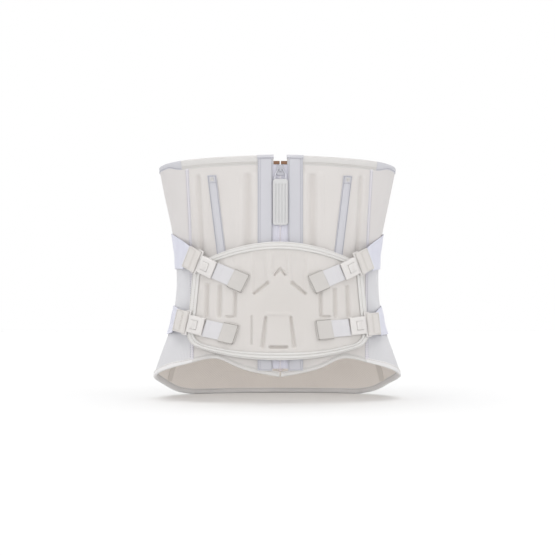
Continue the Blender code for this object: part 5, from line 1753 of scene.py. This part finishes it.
def side_strap(strap):
    """Elastic strap from inside the webbing tab round the side to the rear seam."""
    sign = outward_sign(strap)
    start_angle, start_z = strap_place(strap, SIDE_STRAP_START_OUT, 0)
    placed = strap_frame(strap)
    middle = np.array(placed @ Vector((SIDE_STRAP_START_OUT, 0, SIDE_STRAP_START_HEIGHT)))
    above = (middle - trunk(start_angle, start_z)).dot(outward(start_angle, start_z))
    lift = float(above) - SIDE_STRAP_THICKNESS / 2
    start_angle, start_z = abs(float(start_angle)), float(start_z)
    line = ((start_angle, start_z), (90, strap.side_height), (SIDE_STRAP_REAR_ANGLE, strap.side_height))
    width = ((start_angle, SIDE_STRAP_FRONT_HALF_WIDTH), (90, strap.side_half_width),
             (SIDE_STRAP_REAR_ANGLE, strap.side_half_width))
    lifts = ((start_angle, lift), (start_angle + 9, 0.30 * lift), (start_angle + 19, SIDE_STRAP_HEIGHT),
             (SIDE_STRAP_REAR_ANGLE, SIDE_STRAP_HEIGHT))
    turned = float(np.linalg.norm(along_section(90, strap.side_height)))
    along = stations((SIDE_STRAP_REAR_ANGLE - start_angle) * turned, TAPE_EDGE, 0.0022)
    across = stations(2 * strap.side_half_width, TAPE_EDGE, 0.0016)
    u = (along / along[-1])[:, None]
    angle = blend(start_angle, SIDE_STRAP_REAR_ANGLE, u) + 0 * across[None, :]
    v = (across / across[-1] * 2 - 1)[None, :] * curve(width, angle)
    z = curve(line, angle) + v
    square = 1 - smooth_step(0, 0.6, u)
    height = curve(lifts, angle) + SIDE_STRAP_THICKNESS / 2
    angle = angle - square * degrees_for(1.0, sign * angle, z) * v * math.sin(math.radians(strap.slope))
    half = roundness(across, along, TAPE_EDGE) * SIDE_STRAP_THICKNESS / 2
    folds = 0.0003 * np.sin(v / 0.0042) * np.sin(np.pi * u) ** 2
    front, back = (over(sign * angle, z, height + folds + side * half) for side in (1, -1))
    name = strap.name + "_elastic"
    mesh = slab(name, front, back)
    made = piece(name, mesh, None, "elastic", [strap.name + "_side_strap"])
    rows = []
    for inset in (0.003, 0.0055):
        column = len(along) - 1
        while along[-1] - along[column] < inset:
            column -= 1
        rows.append((front[column], outward(sign * angle[column], z[column])))
    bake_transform(made)
    stitching(name + "_end_stitching", rows, "lilac_thread", pitch=0.0026, length=0.0022)


def pad_strap_height(out, angle, z):
    """How far out a strap lies over the pad."""
    x = trunk(angle, z)[..., 0]
    reach = np.hypot(x - PAD_CENTRE[0], z - PAD_CENTRE[1]) / PAD_BOTTOM_CORNER[0]
    rise = PAD_STRAP_RISE * smooth_step(PAD_STRAP_RISE_END - PAD_STRAP_RISE_LENGTH, PAD_STRAP_RISE_END, out)
    return pad_front_height(x, reach) + PAD_STRAP_CLEARANCE + rise


def strap_band(strap, name, outs, half_width, lift, thickness, finish, nodes, corner=0.0008):
    """Flat band over the pad between two distances along the strap."""
    along = stations(outs[1] - outs[0], TAPE_EDGE, 0.0010)
    across = stations(2 * half_width, TAPE_EDGE, 0.0010)
    half_length = (outs[1] - outs[0]) / 2
    sideways, out = corners_rounded((across - half_width)[None, :] + 0 * along[:, None],
                                    (along - half_length)[:, None] + 0 * across[None, :],
                                    (half_width, half_length), (corner, corner))
    out = out + outs[0] + half_length
    angle, z = strap_place(strap, out, sideways)
    half = roundness(across, along, TAPE_EDGE) * thickness / 2
    height = pad_strap_height(out, angle, z) + lift + thickness / 2
    return piece(name, tape_mesh(name, angle, z, height, half), "brace", finish, nodes)


ZIGZAG_STEP = 0.0017
ZIGZAG_SWING = 0.0009


def zigzag_row(strap, start, end, height):
    """Legs of a zigzag from start to end, given as (out, across) on the strap."""
    start, end = np.array(start), np.array(end)
    run = end - start
    length = np.linalg.norm(run)
    count = round(length / ZIGZAG_STEP)
    sideways = np.array((-run[1], run[0])) / length * ZIGZAG_SWING
    corners = [start + run * k / count + sideways * (0.5 if k % 2 else -0.5) for k in range(count + 1)]
    rows = []
    for a, b in zip(corners, corners[1:]):
        leg = np.linspace(a, b, 3)
        angle, z = strap_place(strap, leg[:, 0], leg[:, 1])
        out = pad_strap_height(leg[:, 0], angle, z) + height
        rows.append((over(angle, z, out), outward(angle, z)))
    return rows


def pad_strap(strap):
    strap_band(strap, strap.name + "_pad_webbing", (END_TAB_OUT[1] - 0.003, PAD_STRAP_OUTER_END),
               PAD_STRAP_HALF_WIDTH, 0.0001, 0.0017, "white_webbing", [strap.name + "_pad_strap"])
    strap_band(strap, strap.name + "_end_tab", END_TAB_OUT, PAD_STRAP_END_HALF_WIDTH, 0.0, 0.0026,
               "end_webbing", (), corner=0.0032)
    half, top = PAD_STRAP_END_HALF_WIDTH - 0.0011, 0.00262
    inner, outer = END_TAB_OUT[0] + 0.0012, END_TAB_OUT[1] - 0.0010
    rows = zigzag_row(strap, (inner, -half), (outer, -half), top)
    rows += zigzag_row(strap, (inner, half), (outer, half), top)
    rows += zigzag_row(strap, (inner, -half), (inner, half), top)
    stitching(strap.name + "_end_zigzag", rows, "dark_thread", pitch=0.01, length=0.0019, radius=0.00028)


def strap_sets():
    socket, button, tongue = socket_mesh(), button_mesh(), tongue_mesh()
    for strap in STRAP_SETS:
        placed = strap_frame(strap)
        name = strap.name
        parts = (("buckle_socket", socket, "brace"), ("release_button", button, name + "_button"),
                 ("buckle_tongue", tongue, name + "_tongue"))
        for kind, mesh, body in parts:
            part = f"{name}_{kind.split('_')[1]}_moulding"
            piece(part, mesh.copy(), body, "plastic", [f"{name}_{kind}"], placed)
        webbing_tab(strap, placed)
        side_strap(strap)
        pad_strap(strap)


# ---------------------------------------------------------------- kept CAD parts, stage, light and camera

def finish_kept_parts():
    """Metal parts whose CAD shape stays."""
    for name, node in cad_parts.items():
        if name == "zip_slider":
            finish = "slider_nickel"
        elif name.endswith("_stay"):
            finish = "steel"
        else:
            continue
        node.data.materials.clear()
        node.data.materials.append(FINISHES[finish])


def floor():
    shape = bmesh.new()
    bmesh.ops.create_grid(shape, x_segments=8, y_segments=8, size=6.0)
    mesh = bpy.data.meshes.new("floor")
    shape.to_mesh(mesh)
    shape.free()
    made = Finish("floor_paper", roughness=0.9, specular=0.1)
    made.colour(made.mix(made.noise(3.0), (0.865, 0.865, 0.865), (0.855, 0.855, 0.855)))
    mesh.materials.append(made.material)
    stood = added("floor", mesh)
    stood.location.z = CAD_BOX[0][2]


# The sky is white near the horizon and dimmer overhead: direction heights, then strengths.
SKY_FALL = (0.31, 0.52, 1.0, 0.30)
# Soft lights far away: name, direction towards it, strength and spread in degrees.
LIGHTS = (
    ("overhead", (-0.05, -0.02, 1.0), 2.25, 95),
    ("left_softbox", (-0.85, -0.80, 0.25), 0.36, 60),
    ("right_softbox", (0.85, -0.80, 0.22), 0.44, 60),
    ("front_fill", (0.0, -1.0, 0.08), 0.42, 50),
)


def studio():
    world = bpy.data.worlds.new("studio")
    world.use_nodes = True
    nodes, links = world.node_tree.nodes, world.node_tree.links
    background = nodes["Background"]
    background.inputs["Color"].default_value = (1.0, 1.0, 1.0, 1)
    direction = nodes.new("ShaderNodeSeparateXYZ")
    links.new(nodes.new("ShaderNodeTexCoord").outputs["Generated"], direction.inputs[0])
    dimmed = nodes.new("ShaderNodeMapRange")
    dimmed.interpolation_type = "SMOOTHSTEP"
    for socket, value in zip(("From Min", "From Max", "To Min", "To Max"), SKY_FALL):
        dimmed.inputs[socket].default_value = value
    links.new(direction.outputs[2], dimmed.inputs["Value"])
    links.new(dimmed.outputs[0], background.inputs["Strength"])
    scene = bpy.context.scene
    scene.world = world
    scene.view_settings.view_transform = "Standard"
    for name, towards, strength, spread in LIGHTS:
        lamp = bpy.data.lights.new(name, "SUN")
        lamp.energy, lamp.angle = strength, math.radians(spread)
        added(name, lamp).rotation_euler = Vector(towards).to_track_quat("Z", "Y").to_euler()


CAMERA_PLACE = (-0.0544, -1.599, 0.120)
CAMERA_AIM = (0.0, 0.0, 0.1714)
CAMERA_LENS = 73.1


def camera():
    lens = bpy.data.cameras.new("camera")
    lens.lens = CAMERA_LENS
    made = added("camera", lens)
    made.location = CAMERA_PLACE
    made.rotation_euler = (Vector(CAMERA_AIM) - Vector(CAMERA_PLACE)).to_track_quat("-Z", "Y").to_euler()
    bpy.context.scene.camera = made


camera()
studio()
floor()
finish_kept_parts()
body_panels()
seam_tapes()
rims()
zip_parts()
zip_ends()
pull_bail()
pull_tab()
casings()
abdominal_pad()
pad_edge()
rear_support()
strap_sets()
